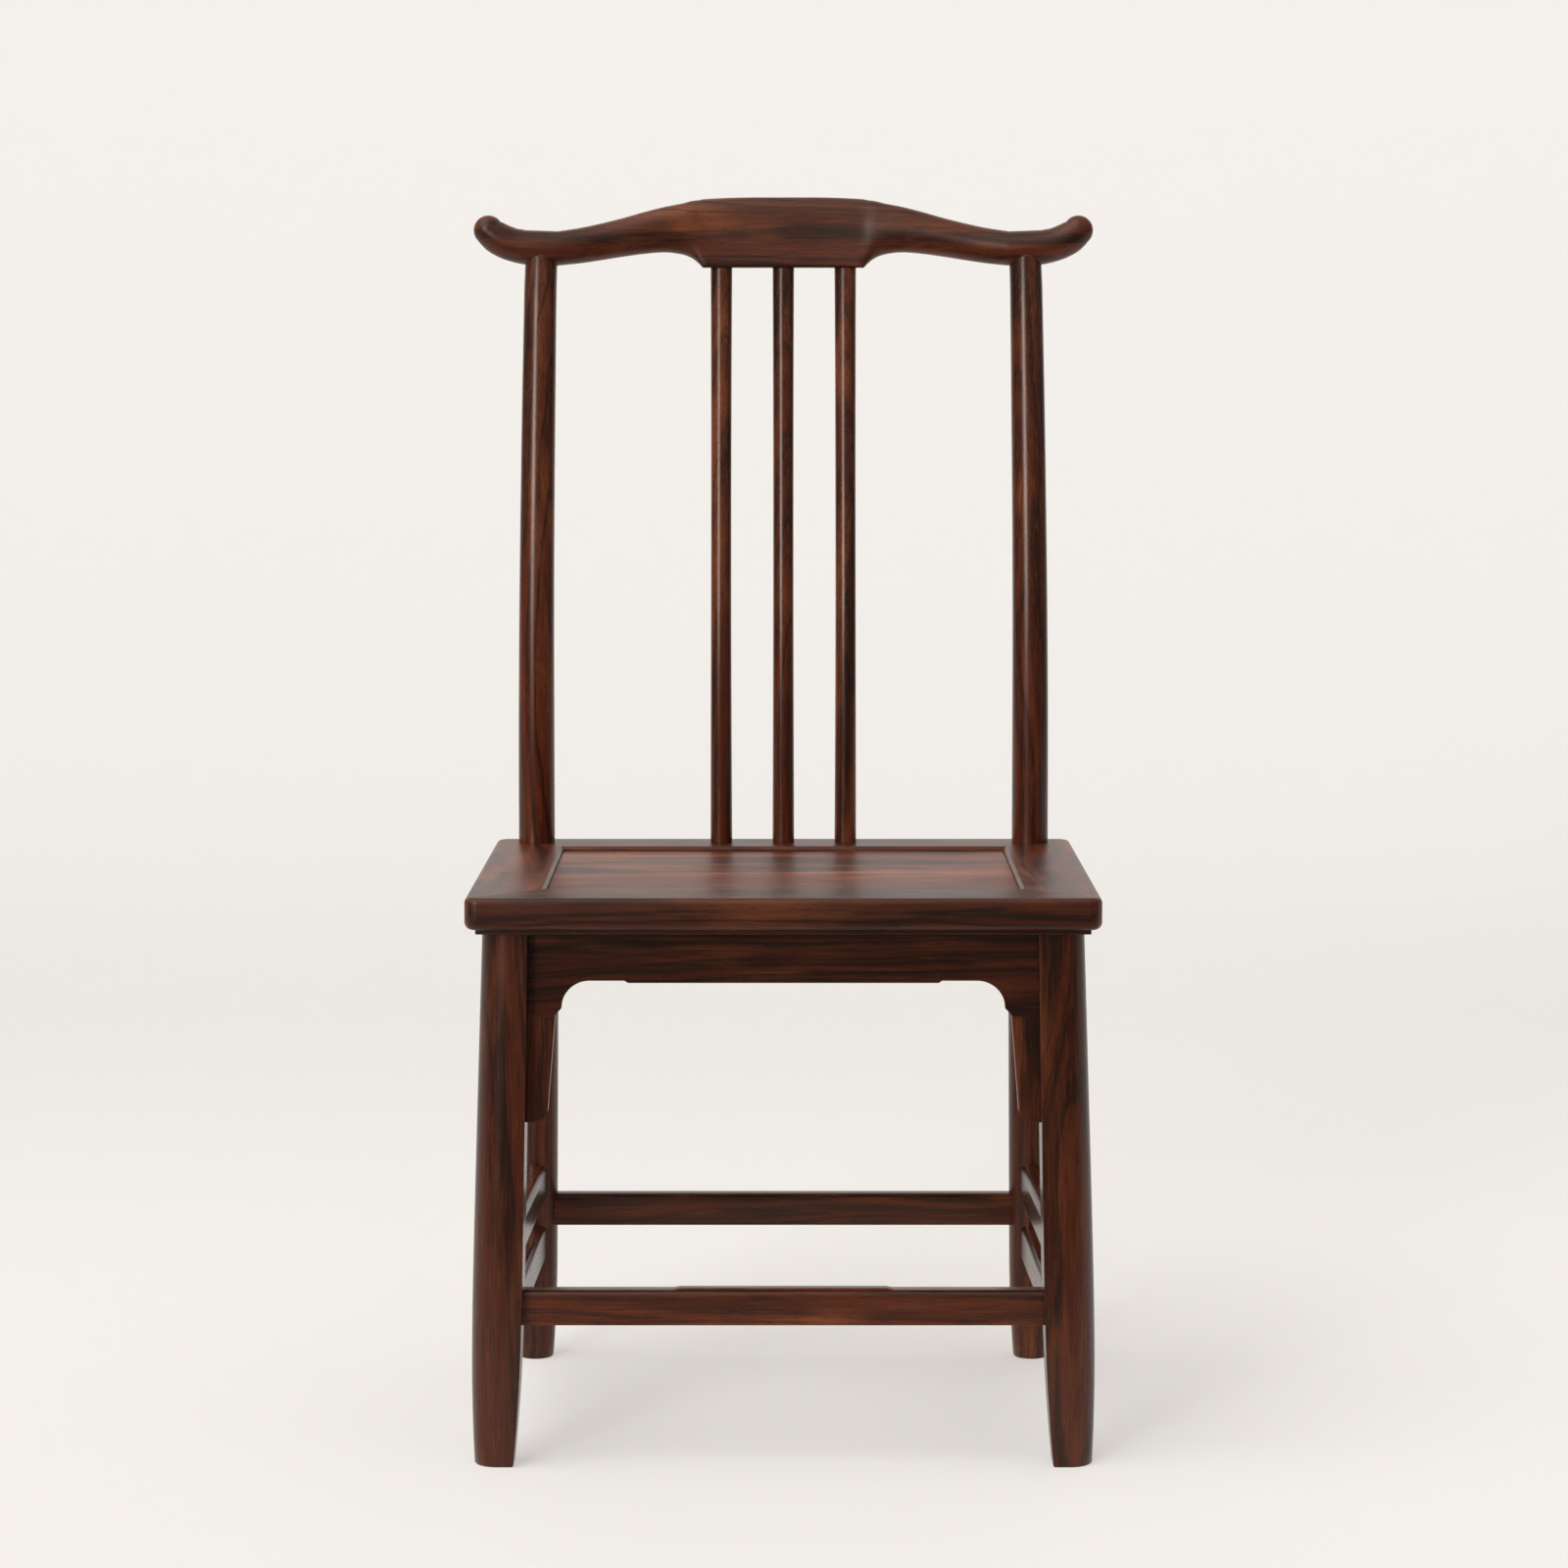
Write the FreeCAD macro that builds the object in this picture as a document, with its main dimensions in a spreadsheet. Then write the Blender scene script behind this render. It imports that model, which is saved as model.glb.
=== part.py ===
import FreeCAD, Part
import math
import os
import re

import Sketcher
from FreeCAD import Vector

# Yoke-back side chair: crest rail, two posts that run on as rear legs, three spindles, a mitred seat
# frame with a floating panel, splayed front legs, aprons and stretchers, all joined by mortise and tenon.
# X is the chair's width, Y runs from front to back, Z is up. The origin is on the floor, under the middle.

# The driving dimensions, in millimetres, and the crest's lean and tilts in degrees.
SIZES = {
    # Whole chair
    "overall_depth": 490.0,
    "overall_height": 1100.0,
    "joint_clearance": 0.15,
    "cut_overrun": 5.0,
    # Seat frame
    "seat_width": 543.0,
    "seat_depth": 436.0,
    "seat_height": 495.0,
    "frame_width": 66.0,
    "edge_height": 28.0,
    "edge_top_round": 5.0,
    "edge_under_round": 6.5,
    "corner_round": 12.0,
    "step_height": 4.0,
    "step_inset": 9.0,
    "lip_chamfer": 2.5,
    "mitre_tenon_inset": 9.0,
    "mitre_tenon_width": 9.0,
    "mitre_tenon_height": 10.0,
    "mitre_tenon_rise": 9.0,
    "mitre_tenon_cover": 20.0,
    # Seat panel
    "panel_drop": 4.0,
    "panel_thickness": 12.0,
    "panel_gap": 0.3,
    "tongue_drop": 3.0,
    "tongue_thickness": 5.0,
    "groove_depth": 8.0,
    "groove_play": 1.0,
    # Battens under the panel
    "batten_spacing": 210.0,
    "batten_width": 24.0,
    "batten_height": 12.0,
    "batten_taper": 2.0,
    "dovetail_height": 4.0,
    "dovetail_flare": 2.5,
    "batten_tenon_width": 14.0,
    "batten_tenon_height": 7.0,
    "batten_tenon_length": 12.0,
    # Rear legs and back posts
    "post_inset": 39.1,
    "post_setback": 29.0,
    "post_diameter": 34.0,
    "post_top_diameter": 30.3,
    "post_head_setback": 0.5,
    "post_lean_in": 4.4,
    "post_tenon_width": 13.0,
    "post_tenon_length": 10.0,
    "rear_leg_diameter": 42.0,
    "rear_splay_out": 4.2,
    "rear_splay_back": 5.0,
    # Front legs
    "front_leg_inset": 33.5,
    "front_leg_setback": 32.0,
    "front_leg_width": 44.0,
    "front_leg_depth": 42.0,
    "front_splay_out": 12.0,
    "front_splay_forward": 10.0,
    "foot_chamfer": 1.2,
    "leg_tenon_width": 12.0,
    "leg_tenon_length": 20.0,
    "leg_tenon_offset": 9.0,
    # Spindles
    "spindle_spacing": 58.4,
    "spindle_diameter": 20.4,
    "spindle_waist": 19.0,
    "spindle_advance": 7.0,
    "spindle_tenon_width": 11.0,
    "spindle_tenon_length": 20.0,
    # Crest rail
    "crest_overhang": 63.7,
    "crest_block_length": 152.0,
    "crest_block_height": 66.3,
    "crest_block_depth": 30.0,
    "crest_crown": 1.8,
    "crest_arm_diameter": 32.2,
    "crest_tip_diameter": 28.4,
    "crest_joint_length": 31.2,
    "crest_post_drop": 47.9,
    "crest_tip_rise": 16.4,
    "crest_tip_tilt": 55.0,
    "crest_joint_tilt": 2.0,
    "crest_bow": 18.0,
    "crest_lean": 6.0,
    # Front apron and its side strips
    "apron_setback": 24.0,
    "apron_thickness": 12.0,
    "apron_height": 42.0,
    "apron_middle_inset": 57.0,
    "apron_middle_drop": 1.9,
    "apron_middle_run": 3.0,
    "ear_width": 48.0,
    "arch_radius": 24.0,
    "ear_height": 73.0,
    "ear_cusp": 7.0,
    "tongue_width": 4.0,
    "tongue_stop": 12.0,
    "strip_thickness": 10.0,
    "strip_length": 92.0,
    "strip_top_inset": 5.5,
    "strip_bottom_inset": 12.0,
    "strip_round": 12.0,
    # Side and rear aprons
    "side_apron_height": 40.0,
    "side_apron_thickness": 12.0,
    "side_apron_inset": 34.0,
    "rear_apron_height": 34.0,
    "rear_apron_thickness": 12.0,
    # Stretchers
    "front_stretcher_height": 30.0,
    "front_stretcher_depth": 22.0,
    "front_stretcher_centre": 138.0,
    "front_stretcher_raise": 1.2,
    "front_stretcher_raised_length": 178.0,
    "front_stretcher_raised_width": 9.0,
    "front_stretcher_ramp": 6.0,
    "rear_stretcher_height": 30.0,
    "rear_stretcher_depth": 20.0,
    "rear_stretcher_centre": 144.0,
    "side_stretcher_height": 28.0,
    "side_stretcher_width": 22.0,
    "side_upper_centre": 174.0,
    "side_lower_centre": 116.0,
    "stretcher_round": 6.0,
    "stretcher_tenon_height": 16.0,
    "stretcher_tenon_thickness": 9.0,
}

# Stations of a back post above the seat: shares of its height, its lean inwards, its rake and its taper.
POST_SHARES = (
    (0.00, 0.00, 0.00, 0.00),
    (0.19, 0.10, -0.06, 0.08),
    (0.37, 0.20, 0.03, 0.30),
    (0.55, 0.36, 0.24, 0.50),
    (0.73, 0.58, 0.52, 0.66),
    (0.88, 0.80, 0.78, 0.88),
    (1.00, 1.00, 1.00, 1.00),
)
# Stations of a spindle above the seat: shares of its height, its rake and its waist.
SPINDLE_SHARES = (
    (0.00, 0.00, 0.00),
    (0.19, -0.04, 0.50),
    (0.38, 0.05, 0.90),
    (0.56, 0.28, 1.00),
    (0.75, 0.58, 0.80),
    (0.91, 0.84, 0.40),
    (1.00, 1.00, 0.00),
)
# Stations of a leg above the floor: shares of its height, and of its full thickness.
REAR_LEG_SHARES = ((0.00, 0.80), (0.15, 0.97))
FRONT_LEG_SHARES = (
    (0.00, 0.785),
    (0.075, 0.885),
    (0.19, 0.975),
    (0.38, 1.00),
    (1.00, 0.91),
)
# How many straight lengths follow the curve of a post, up to the upright neck that enters the crest, and
# the curve of a spindle.
POST_COUNT = 6
POST_NECK_SHARE = 0.962
SPINDLE_COUNT = 5
# Rounds of a front leg's outer corners, front and rear, as shares of its width. The inner ones are square.
LEG_ROUND_SHARES = (0.58, 0.20)

# Sections of half the crest's centre block: shares of half its length, of its crown, and of the bow in
# plan. Its middle is straight.
BLOCK_SHARES = ((0.55, 0.0, 1.0), (1.0, 1.0, 0.93))
# Sections of an arm, from the block to the straight part on the post: shares of the way along, of the drop
# of its centre line, of the difference in section from arm to block, and of the bow in plan.
ARM_SHARES = (
    (0.000, 0.728, 0.949, 0.930),
    (0.022, 0.685, 0.818, 0.920),
    (0.048, 0.659, 0.726, 0.905),
    (0.081, 0.634, 0.624, 0.885),
    (0.141, 0.616, 0.466, 0.850),
    (0.259, 0.628, 0.315, 0.770),
    (0.400, 0.692, 0.212, 0.655),
    (0.548, 0.780, 0.125, 0.520),
    (0.696, 0.866, 0.070, 0.375),
    (0.845, 0.943, 0.030, 0.190),
    (1.000, 1.000, 0.000, 0.000),
)
# Sections of the bend beyond the straight part: shares of its reach, its rise, its tilt and its taper.
BEND_SHARES = (
    (0.00, 0.00, 0.00, 0.00),
    (0.19, 0.09, 0.25, 0.09),
    (0.43, 0.23, 0.50, 0.14),
    (0.77, 0.58, 0.61, 0.42),
    (1.00, 1.00, 1.00, 1.00),
)
# How many straight lengths follow the curve of an arm, crowded towards the block, and the dome at the
# tip, and how far the dome turns before its small flat end, in degrees.
ARM_COUNT = 8
ARM_CROWDING = 1.5
DOME_COUNT = 3
DOME_TURN = 78.0
# How many points shape a section over its top and along its underside, which meet at its lower corners.
OVER_COUNT = 10
UNDER_COUNT = 3
# How fast the lower corners soften away from the block, and how full the rail's top is, away from the
# block and on it: 2 gives a round top, more gives a squarer one.
CORNER_FADE = 2.2
ROUND_POWER = 2.0
BLOCK_TOP_POWER = 2.6

# Places that several pieces share, worked out from the sizes.
SEAT_FRONT = "(0 - overall_depth / 2)"
SEAT_REAR = "(seat_depth - overall_depth / 2)"
SEAT_MIDDLE = "((seat_depth - overall_depth) / 2)"
LEG_TOP = "(seat_height - edge_height - step_height)"
POST_X = "(seat_width / 2 - post_inset)"
POST_Y = "(seat_depth - overall_depth / 2 - post_setback)"
FRONT_LEG_X = "(seat_width / 2 - front_leg_inset)"
FRONT_LEG_Y = "(front_leg_setback - overall_depth / 2)"
CREST_Y = "(overall_depth / 2 - crest_block_depth / 2)"
POST_TOP = "(overall_height - crest_post_drop)"
POST_HEAD_Y = "(%s - crest_bow + post_head_setback)" % CREST_Y
BLOCK_UNDER = "(overall_height - crest_block_height)"
PANEL_TOP = "(seat_height - panel_drop)"
PANEL_UNDER = "(seat_height - panel_drop - panel_thickness)"
OPENING_WIDTH = "(seat_width - 2 * frame_width)"
OPENING_DEPTH = "(seat_depth - 2 * frame_width)"
APRON_Y = "(apron_setback + apron_thickness / 2 - overall_depth / 2)"

doc = FreeCAD.newDocument("yoke_back_side_chair")
sheet = doc.addObject("Spreadsheet::Sheet", "sizes")
for row, (alias, length) in enumerate(SIZES.items(), 1):
    sheet.set("A%d" % row, alias)
    sheet.set("B%d" % row, str(length))
    sheet.setAlias("B%d" % row, alias)
doc.recompute()


def number(text):
    """The value of an expression in the names of the sheet."""
    return float(sheet.evalExpression(text))


def link(text):
    """The same expression, with each name bound to its cell in the sheet."""
    return re.sub(r"[a-z]\w*", lambda m: "sizes." + m.group() if m.group() in SIZES else m.group(), text)


def bind(thing, **expressions):
    for name, text in expressions.items():
        thing.setExpression(name, link(text))


# Sketches and bodies


def new_body(name):
    return doc.addObject("PartDesign::Body", name)


def new_sketch(body, name, plane, x="0", y="0", offset="0"):
    """A sketch on one of the body's origin planes, shifted within the plane and along its normal."""
    sketch = body.newObject("Sketcher::SketchObject", name)
    planes = {feature.Role: feature for feature in body.Origin.OriginFeatures}
    sketch.AttachmentSupport = [(planes[plane], "")]
    sketch.MapMode = "FlatFace"
    for axis, text in zip("xyz", (x, y, offset)):
        sketch.setExpression(".AttachmentOffset.Base." + axis, link(text))
    return sketch


def pin(sketch, kind, text, *places):
    """A dimension of the sketch, bound to an expression."""
    index = sketch.addConstraint(Sketcher.Constraint(kind, *places, number(text)))
    sketch.setExpression("Constraints[%d]" % index, link(text))


def circle(sketch, diameter):
    index = sketch.addGeometry(Part.Circle(Vector(), Vector(0, 0, 1), number(diameter) / 2))
    sketch.addConstraint(Sketcher.Constraint("Coincident", index, 3, -1, 1))
    pin(sketch, "Diameter", diameter, index)


def arc_between(start, end, radius):
    """The short arc from start to end, bulging to the left of the way for a negative radius."""
    chord = end - start
    middle = (start + end) / 2
    rise = math.sqrt(radius**2 - (chord.Length / 2) ** 2)
    side = Vector(-chord.y, chord.x, 0).normalize() * math.copysign(rise, radius)
    centre = middle + side
    ends = (start, end) if radius > 0 else (end, start)
    angles = [math.atan2(p.y - centre.y, p.x - centre.x) for p in ends]
    return Part.ArcOfCircle(Part.Circle(centre, Vector(0, 0, 1), abs(radius)), *angles)


def outline(sketch, corners):
    """A closed outline through corners (x, y) or (x, y, radius of the arc to the next corner)."""
    points = [Vector(number(corner[0]), number(corner[1]), 0) for corner in corners]
    joins = []
    for place, corner in enumerate(corners):
        start, end = points[place], points[(place + 1) % len(points)]
        if len(corner) == 2:
            index = sketch.addGeometry(Part.LineSegment(start, end))
            joins.append((index, 1, 2))
            continue
        radius = number(corner[2])
        index = sketch.addGeometry(arc_between(start, end, radius))
        joins.append((index, 1, 2) if radius > 0 else (index, 2, 1))
        pin(sketch, "Radius", "abs(%s)" % corner[2], index)
    for place, corner in enumerate(corners):
        index, first, _ = joins[place]
        before, _, last = joins[place - 1]
        sketch.addConstraint(Sketcher.Constraint("Coincident", before, last, index, first))
        pin(sketch, "DistanceX", corner[0], -1, 1, index, first)
        pin(sketch, "DistanceY", corner[1], -1, 1, index, first)


def rectangle(sketch, width, height):
    """A rectangle about the sketch's origin."""
    right, top = "%s / 2" % width, "%s / 2" % height
    left, bottom = "0 - " + right, "0 - " + top
    outline(sketch, ((left, bottom), (right, bottom), (right, top), (left, top)))


def pad(body, name, sketch, length, midplane=False, reversed_way=False):
    feature = body.newObject("PartDesign::Pad", name)
    feature.Profile = sketch
    feature.Midplane = midplane
    feature.Reversed = reversed_way
    bind(feature, Length=length)
    return feature


def loft(body, name, sketches):
    feature = body.newObject("PartDesign::AdditiveLoft", name)
    feature.Profile = sketches[0]
    feature.Sections = sketches[1:]
    feature.Ruled = True
    return feature


def edges_where(shape, test):
    return ["Edge%d" % place for place, edge in enumerate(shape.Edges, 1) if test(edge)]


def dress(body, kind, name, base, test, **expressions):
    """A Fillet or Chamfer on the edges of base that pass the test."""
    doc.recompute()
    feature = body.newObject("PartDesign::" + kind, name)
    feature.Base = (base, edges_where(base.Shape, test))
    bind(feature, **expressions)
    return feature


def lies_at(edge, axis, place):
    """Whether the whole edge lies at a place along an axis."""
    low, high = getattr(edge.BoundBox, axis + "Min"), getattr(edge.BoundBox, axis + "Max")
    near = edge.BoundBox.DiagonalLength * 1e-4
    return abs(low - place) < near and abs(high - place) < near


# Part primitives and booleans


def bind_place(thing, x, y, z):
    for axis, text in zip("xyz", (x, y, z)):
        thing.setExpression(".Placement.Base." + axis, link(text))


def block(name, x, y, z, grow="0"):
    """A box between two places on each axis, grown on all sides, as a mortise is around its tenon."""
    thing = doc.addObject("Part::Box", name)
    for side, (low, high) in zip(("Length", "Width", "Height"), (x, y, z)):
        thing.setExpression(side, link("(%s) - (%s) + 2 * %s" % (high, low, grow)))
    bind_place(thing, *("(%s) - %s" % (low, grow) for low, _ in (x, y, z)))
    return thing


def cylinder(name, x, y, low, high, diameter):
    thing = doc.addObject("Part::Cylinder", name)
    bind(thing, Radius="(%s) / 2" % diameter, Height="(%s) - (%s)" % (high, low))
    bind_place(thing, x, y, low)
    return thing


def fuse(name, *parts):
    thing = doc.addObject("Part::MultiFuse", name)
    thing.Shapes = list(parts)
    thing.Refine = False
    return thing


def cut(name, base, *tools):
    thing = doc.addObject("Part::Cut", name)
    thing.Base = base
    thing.Tool = tools[0] if len(tools) == 1 else fuse(name + "_tools", *tools)
    thing.Refine = False
    return thing


def common(name, base, tool):
    thing = doc.addObject("Part::Common", name)
    thing.Base = base
    thing.Tool = tool
    return thing


def mirrored(name, source):
    """The same piece on the chair's other side."""
    thing = doc.addObject("Part::Mirroring", name)
    thing.Source = source
    thing.Normal = Vector(1, 0, 0)
    return thing


def square_peg(name, x, y, low, high, width, grow="0"):
    """An upright square tenon, or with some growth its mortise."""
    spans = [("%s - %s / 2" % (middle, width), "%s + %s / 2" % (middle, width)) for middle in (x, y)]
    return block(name, *spans, (low, high), grow)


def add_round_loft(body, name, stations):
    """A round bar through stations (x, y, z, diameter); gives the sketch of its last section."""
    sketches = []
    for place, (x, y, z, diameter) in enumerate(stations):
        sketch = new_sketch(body, "%s_section_%d" % (name, place), "XY_Plane", x, y, z)
        circle(sketch, diameter)
        sketches.append(sketch)
    loft(body, name + "_loft", sketches)
    return sketches[-1]


def leg_height(share):
    """A height on a leg, from the top of the small chamfer round its foot."""
    return "foot_chamfer + (%s - foot_chamfer) * %.4f" % (LEG_TOP, share)


# Crest rail


def crest_section(x, y, z, height, depth, lean, square):
    """A section across the rail: round where square is 0, flat below with sharp corners where it is 1."""
    power = between(ROUND_POWER, BLOCK_TOP_POWER, square)

    def point(turn):
        across, up = math.cos(turn), math.sin(turn)
        if up > 0:
            across, up = math.copysign(abs(across) ** (2 / power), across), up ** (2 / power)
        else:
            reach = max(abs(across), abs(up))
            across, up = (between(part, part / reach, square) for part in (across, up))
        across = across * depth / 2 + up * height / 2 * math.tan(math.radians(lean))
        return Vector(x, y + across, z + up * height / 2)

    edges = []
    for start, sweep, count in ((-0.25, 1.5, OVER_COUNT), (1.25, 0.5, UNDER_COUNT)):
        turns = [math.pi * (start + sweep * step / (count - 1)) for step in range(count)]
        curve = Part.BSplineCurve()
        curve.interpolate(Points=[point(turn) for turn in turns], Parameters=turns)
        quarters = round(2 * sweep)
        marks = [between(turns[0], turns[-1], quarter / quarters) for quarter in range(quarters + 1)]
        edges += [curve.toShape(low, high) for low, high in zip(marks, marks[1:])]
    return edges


def round_section(centre, tilt, radius, parts=1):
    """A true circle across the rail, whole or in quarters that match those of a crest section."""
    ring = Part.Circle(centre, along_tilt(tilt), radius)
    ring.XAxis = Vector(0, 1, 0)
    marks = [2 * math.pi * part / parts - math.pi / 4 for part in range(parts + 1)]
    return [ring.toShape(low, high) for low, high in zip(marks, marks[1:])]


def along_tilt(tilt):
    """The way outwards along the rail where it is tilted up."""
    return Vector(math.cos(math.radians(tilt)), 0, math.sin(math.radians(tilt)))


def ruled_solid(sections):
    """A solid through sections, each a list of edges, with straight lines between matching points."""
    faces = [Part.Face(Part.Wire(section)) for section in (sections[0], sections[-1])]
    for section, following in zip(sections, sections[1:]):
        faces += [side_face(*edges) for edges in zip(section, following)]
    shell = Part.makeShell(faces)
    shell.sewShape()
    return Part.makeSolid(Part.Shell(shell.Faces))


def side_face(edge, following):
    """The face between matching edges of two sections: round or flat where they allow it, else ruled."""
    low, high = edge.ParameterRange
    steps = [following.valueAt(turn) - edge.valueAt(turn) for turn in (low, (low + high) / 2)]
    if edge.Curve.TypeId == "Part::GeomCircle" and steps[0].isEqual(steps[1], steps[0].Length * 1e-6):
        return edge.extrude(steps[0])
    face = Part.makeRuledSurface(edge, following)
    return Part.Face(face.OuterWire) if face.findPlane() else face


def between(low, high, share):
    return low + (high - low) * share


def interpolate(shares, share):
    """A row of a table of shares, on a smooth curve through its stations."""
    place = max(index for index, row in enumerate(shares[:-1]) if row[0] <= share)
    low, high = shares[place], shares[place + 1]
    before, after = shares[max(place - 1, 0)], shares[min(place + 2, len(shares) - 1)]
    span = high[0] - low[0]
    way = (share - low[0]) / span
    row = []
    for a, b, c, d in zip(before[1:], low[1:], high[1:], after[1:]):
        leaving = (c - a) / (high[0] - before[0]) * span
        arriving = (d - b) / (after[0] - low[0]) * span
        from_low = (b * (1 + 2 * way) + leaving * way) * (1 - way) ** 2
        to_high = (c * (3 - 2 * way) - arriving * (1 - way)) * way**2
        row.append(from_low + to_high)
    return row


def crest_shape():
    """The whole rail before its mortises: block and arms in one skin, and round upswept ends."""
    top = number("overall_height")
    line = number(CREST_Y)
    bow = number("crest_bow")
    lean = number("crest_lean")
    block_half = number("crest_block_length / 2")
    block_height = number("crest_block_height")
    block_depth = number("crest_block_depth")
    arm = number("crest_arm_diameter")
    tilt = number("crest_joint_tilt")
    joint = Vector(number(POST_X + " - post_lean_in"), line - bow, top - number("crest_post_drop"))
    half = along_tilt(tilt) * number("crest_joint_length / 2")

    sections = []
    for along, crown, bowed in BLOCK_SHARES:
        height = block_height - number("crest_crown") * crown
        y = line - bow * (1 - bowed)
        z = top - block_height + height / 2
        sections.append(crest_section(block_half * along, y, z, height, block_depth, lean, 1))
    for place in range(1, ARM_COUNT):
        along = (place / ARM_COUNT) ** ARM_CROWDING
        dropped, blend, bowed = interpolate(ARM_SHARES, along)
        sections.append(
            crest_section(
                between(block_half, (joint - half).x, along),
                line - bow * (1 - bowed),
                between(top, (joint - half).z, dropped),
                between(arm, block_height, blend),
                between(arm, block_depth, blend),
                lean * blend,
                blend**CORNER_FADE,
            )
        )
    sections += [round_section(end, tilt, arm / 2, 4) for end in (joint - half, joint + half)]
    opposite = [[edge.mirror(Vector(), Vector(1, 0, 0)) for edge in section] for section in sections[::-1]]
    end = ruled_solid(upswept_end(joint + half, tilt, arm / 2))
    return ruled_solid(opposite + sections).fuse([end, end.mirror(Vector(), Vector(1, 0, 0))])


def upswept_end(start, start_tilt, radius):
    """Sections of the round end beyond the straight part: a bend upwards, a taper and a dome."""
    full_tilt = number("crest_tip_tilt")
    tip_radius = number("crest_tip_diameter / 2")
    joint_x = number(POST_X + " - post_lean_in")
    tip_x = joint_x + number("crest_overhang") - tip_radius
    tip_z = number(POST_TOP + " + crest_tip_rise")
    tip = Vector(tip_x, start.y, tip_z)
    sections = []
    for out, up, turned, tapered in BEND_SHARES:
        middle = Vector(between(start.x, tip.x, out), start.y, between(start.z, tip.z, up))
        tilt = between(start_tilt, full_tilt, turned)
        sections.append(round_section(middle, tilt, between(radius, tip_radius, tapered)))
    for step in range(1, DOME_COUNT + 1):
        turn = math.radians(DOME_TURN * step / DOME_COUNT)
        middle = tip + along_tilt(full_tilt) * tip_radius * math.sin(turn)
        sections.append(round_section(middle, full_tilt, tip_radius * math.cos(turn)))
    return sections


crest_blank = doc.addObject("Part::Feature", "crest_blank")
crest_blank.Shape = crest_shape()


# Back: posts with rear legs, and spindles


def along_post(share):
    """The post's centre at a share of its height: x, y, z."""
    lean_in, rake = interpolate(POST_SHARES, share)[:2]
    x = "%s - post_lean_in * %.4f" % (POST_X, lean_in)
    y = "%s + (%s - %s) * %.4f" % (POST_Y, POST_HEAD_Y, POST_Y, rake)
    z = "seat_height + (%s - seat_height) * %.4f" % (POST_TOP, share)
    return x, y, z


def along_spindle(side, share):
    """A spindle's centre at a share of its height: x, y, z."""
    rake = interpolate(SPINDLE_SHARES, share)[0]
    y = "%s + (%s - spindle_advance - %s) * %.4f" % (POST_Y, CREST_Y, POST_Y, rake)
    z = "seat_height + (%s - seat_height) * %.4f" % (BLOCK_UNDER, share)
    return "spindle_spacing * %d" % side, y, z


def leg_direction():
    """The way that a rear leg leans, from its foot up."""
    return Vector(number("0 - rear_splay_out"), number("0 - rear_splay_back"), number(LEG_TOP))


def make_turned_leg():
    """The leg below the seat, turned about its leaning axis and cut level at both ends."""
    body = new_body("rear_leg_turning")
    foot = "rear_leg_diameter * %.4f" % REAR_LEG_SHARES[0][1]
    stations = [("0", "0", "0 - foot_chamfer", foot + " - 4 * foot_chamfer")]
    for height, thick in REAR_LEG_SHARES:
        stations.append(("0", "0", leg_height(height), "rear_leg_diameter * %.4f" % thick))
    last = add_round_loft(body, "rear_leg_foot", stations)
    pad(body, "rear_leg_straight", last, "%s + cut_overrun - (%s)" % (LEG_TOP, stations[-1][2]))
    bind_place(body, POST_X + " + rear_splay_out", POST_Y + " + rear_splay_back", "0")
    body.Placement.Rotation = FreeCAD.Rotation(Vector(0, 0, 1), leg_direction())
    behind = SEAT_REAR + " + cut_overrun"
    slab = block("rear_leg_slab", ("0", "seat_width / 2"), (SEAT_MIDDLE, behind), ("0", LEG_TOP))
    return common("rear_leg_turned", body, slab)


def make_rear_leg():
    """Leg and post in one piece, with a shoulder under the seat frame."""
    body = new_body("back_post")
    sketch = new_sketch(body, "rear_leg_neck_section", "XY_Plane", POST_X, POST_Y, LEG_TOP)
    circle(sketch, "post_diameter")
    pad(body, "rear_leg_neck", sketch, "edge_height + step_height")
    stations = []
    for place in range(POST_COUNT):
        height = POST_NECK_SHARE * place / POST_COUNT
        taper = interpolate(POST_SHARES, height)[2]
        diameter = "post_diameter - (post_diameter - post_top_diameter) * %.4f" % taper
        stations.append(along_post(height) + (diameter,))
    neck = along_post(POST_NECK_SHARE)[2]
    stations.append((*along_post(1)[:2], neck, "post_top_diameter"))
    last = add_round_loft(body, "back_post", stations)
    pad(body, "back_post_neck", last, "%s - (%s)" % (POST_TOP, neck))
    return fuse("rear_leg_blank", make_turned_leg(), body)


rear_leg_blank = make_rear_leg()
front_leg_blank = new_body("front_leg_blank")


def rounded_rectangle(sketch, width, height, rounds):
    """A rectangle with a round, or none, at the lower right, upper right, upper left and lower left."""
    right, top = "%s / 2" % width, "%s / 2" % height
    left, bottom = "0 - " + right, "0 - " + top
    spots = (
        (right, "-", bottom, "+"),
        (right, "-", top, "-"),
        (left, "+", top, "-"),
        (left, "+", bottom, "+"),
    )
    corners = []
    for place, ((x, x_inwards, y, y_inwards), size) in enumerate(zip(spots, rounds)):
        if not size:
            corners.append((x, y))
            continue
        level = ("%s %s %s" % (x, x_inwards, size), y)
        upright = (x, "%s %s %s" % (y, y_inwards, size))
        first, last = (upright, level) if place % 2 else (level, upright)
        corners += [(*first, size), last]
    outline(sketch, corners)


def front_leg_centre(share):
    """The front leg's centre in plan, at a share of its height."""
    x = "%s + front_splay_out * %.4f" % (FRONT_LEG_X, 1 - share)
    y = "%s - front_splay_forward * %.4f" % (FRONT_LEG_Y, 1 - share)
    return x, y


def front_leg_section(name, share, z, thick, less="0"):
    x, y = front_leg_centre(share)
    sketch = new_sketch(front_leg_blank, name, "XY_Plane", x, y, z)
    width, depth = ("(front_leg_%s * %.4f - %s)" % (side, thick, less) for side in ("width", "depth"))
    rounds = ["%s * %.4f" % (width, share) for share in LEG_ROUND_SHARES]
    rounded_rectangle(sketch, width, depth, [*rounds, None, None])
    return sketch


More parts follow.
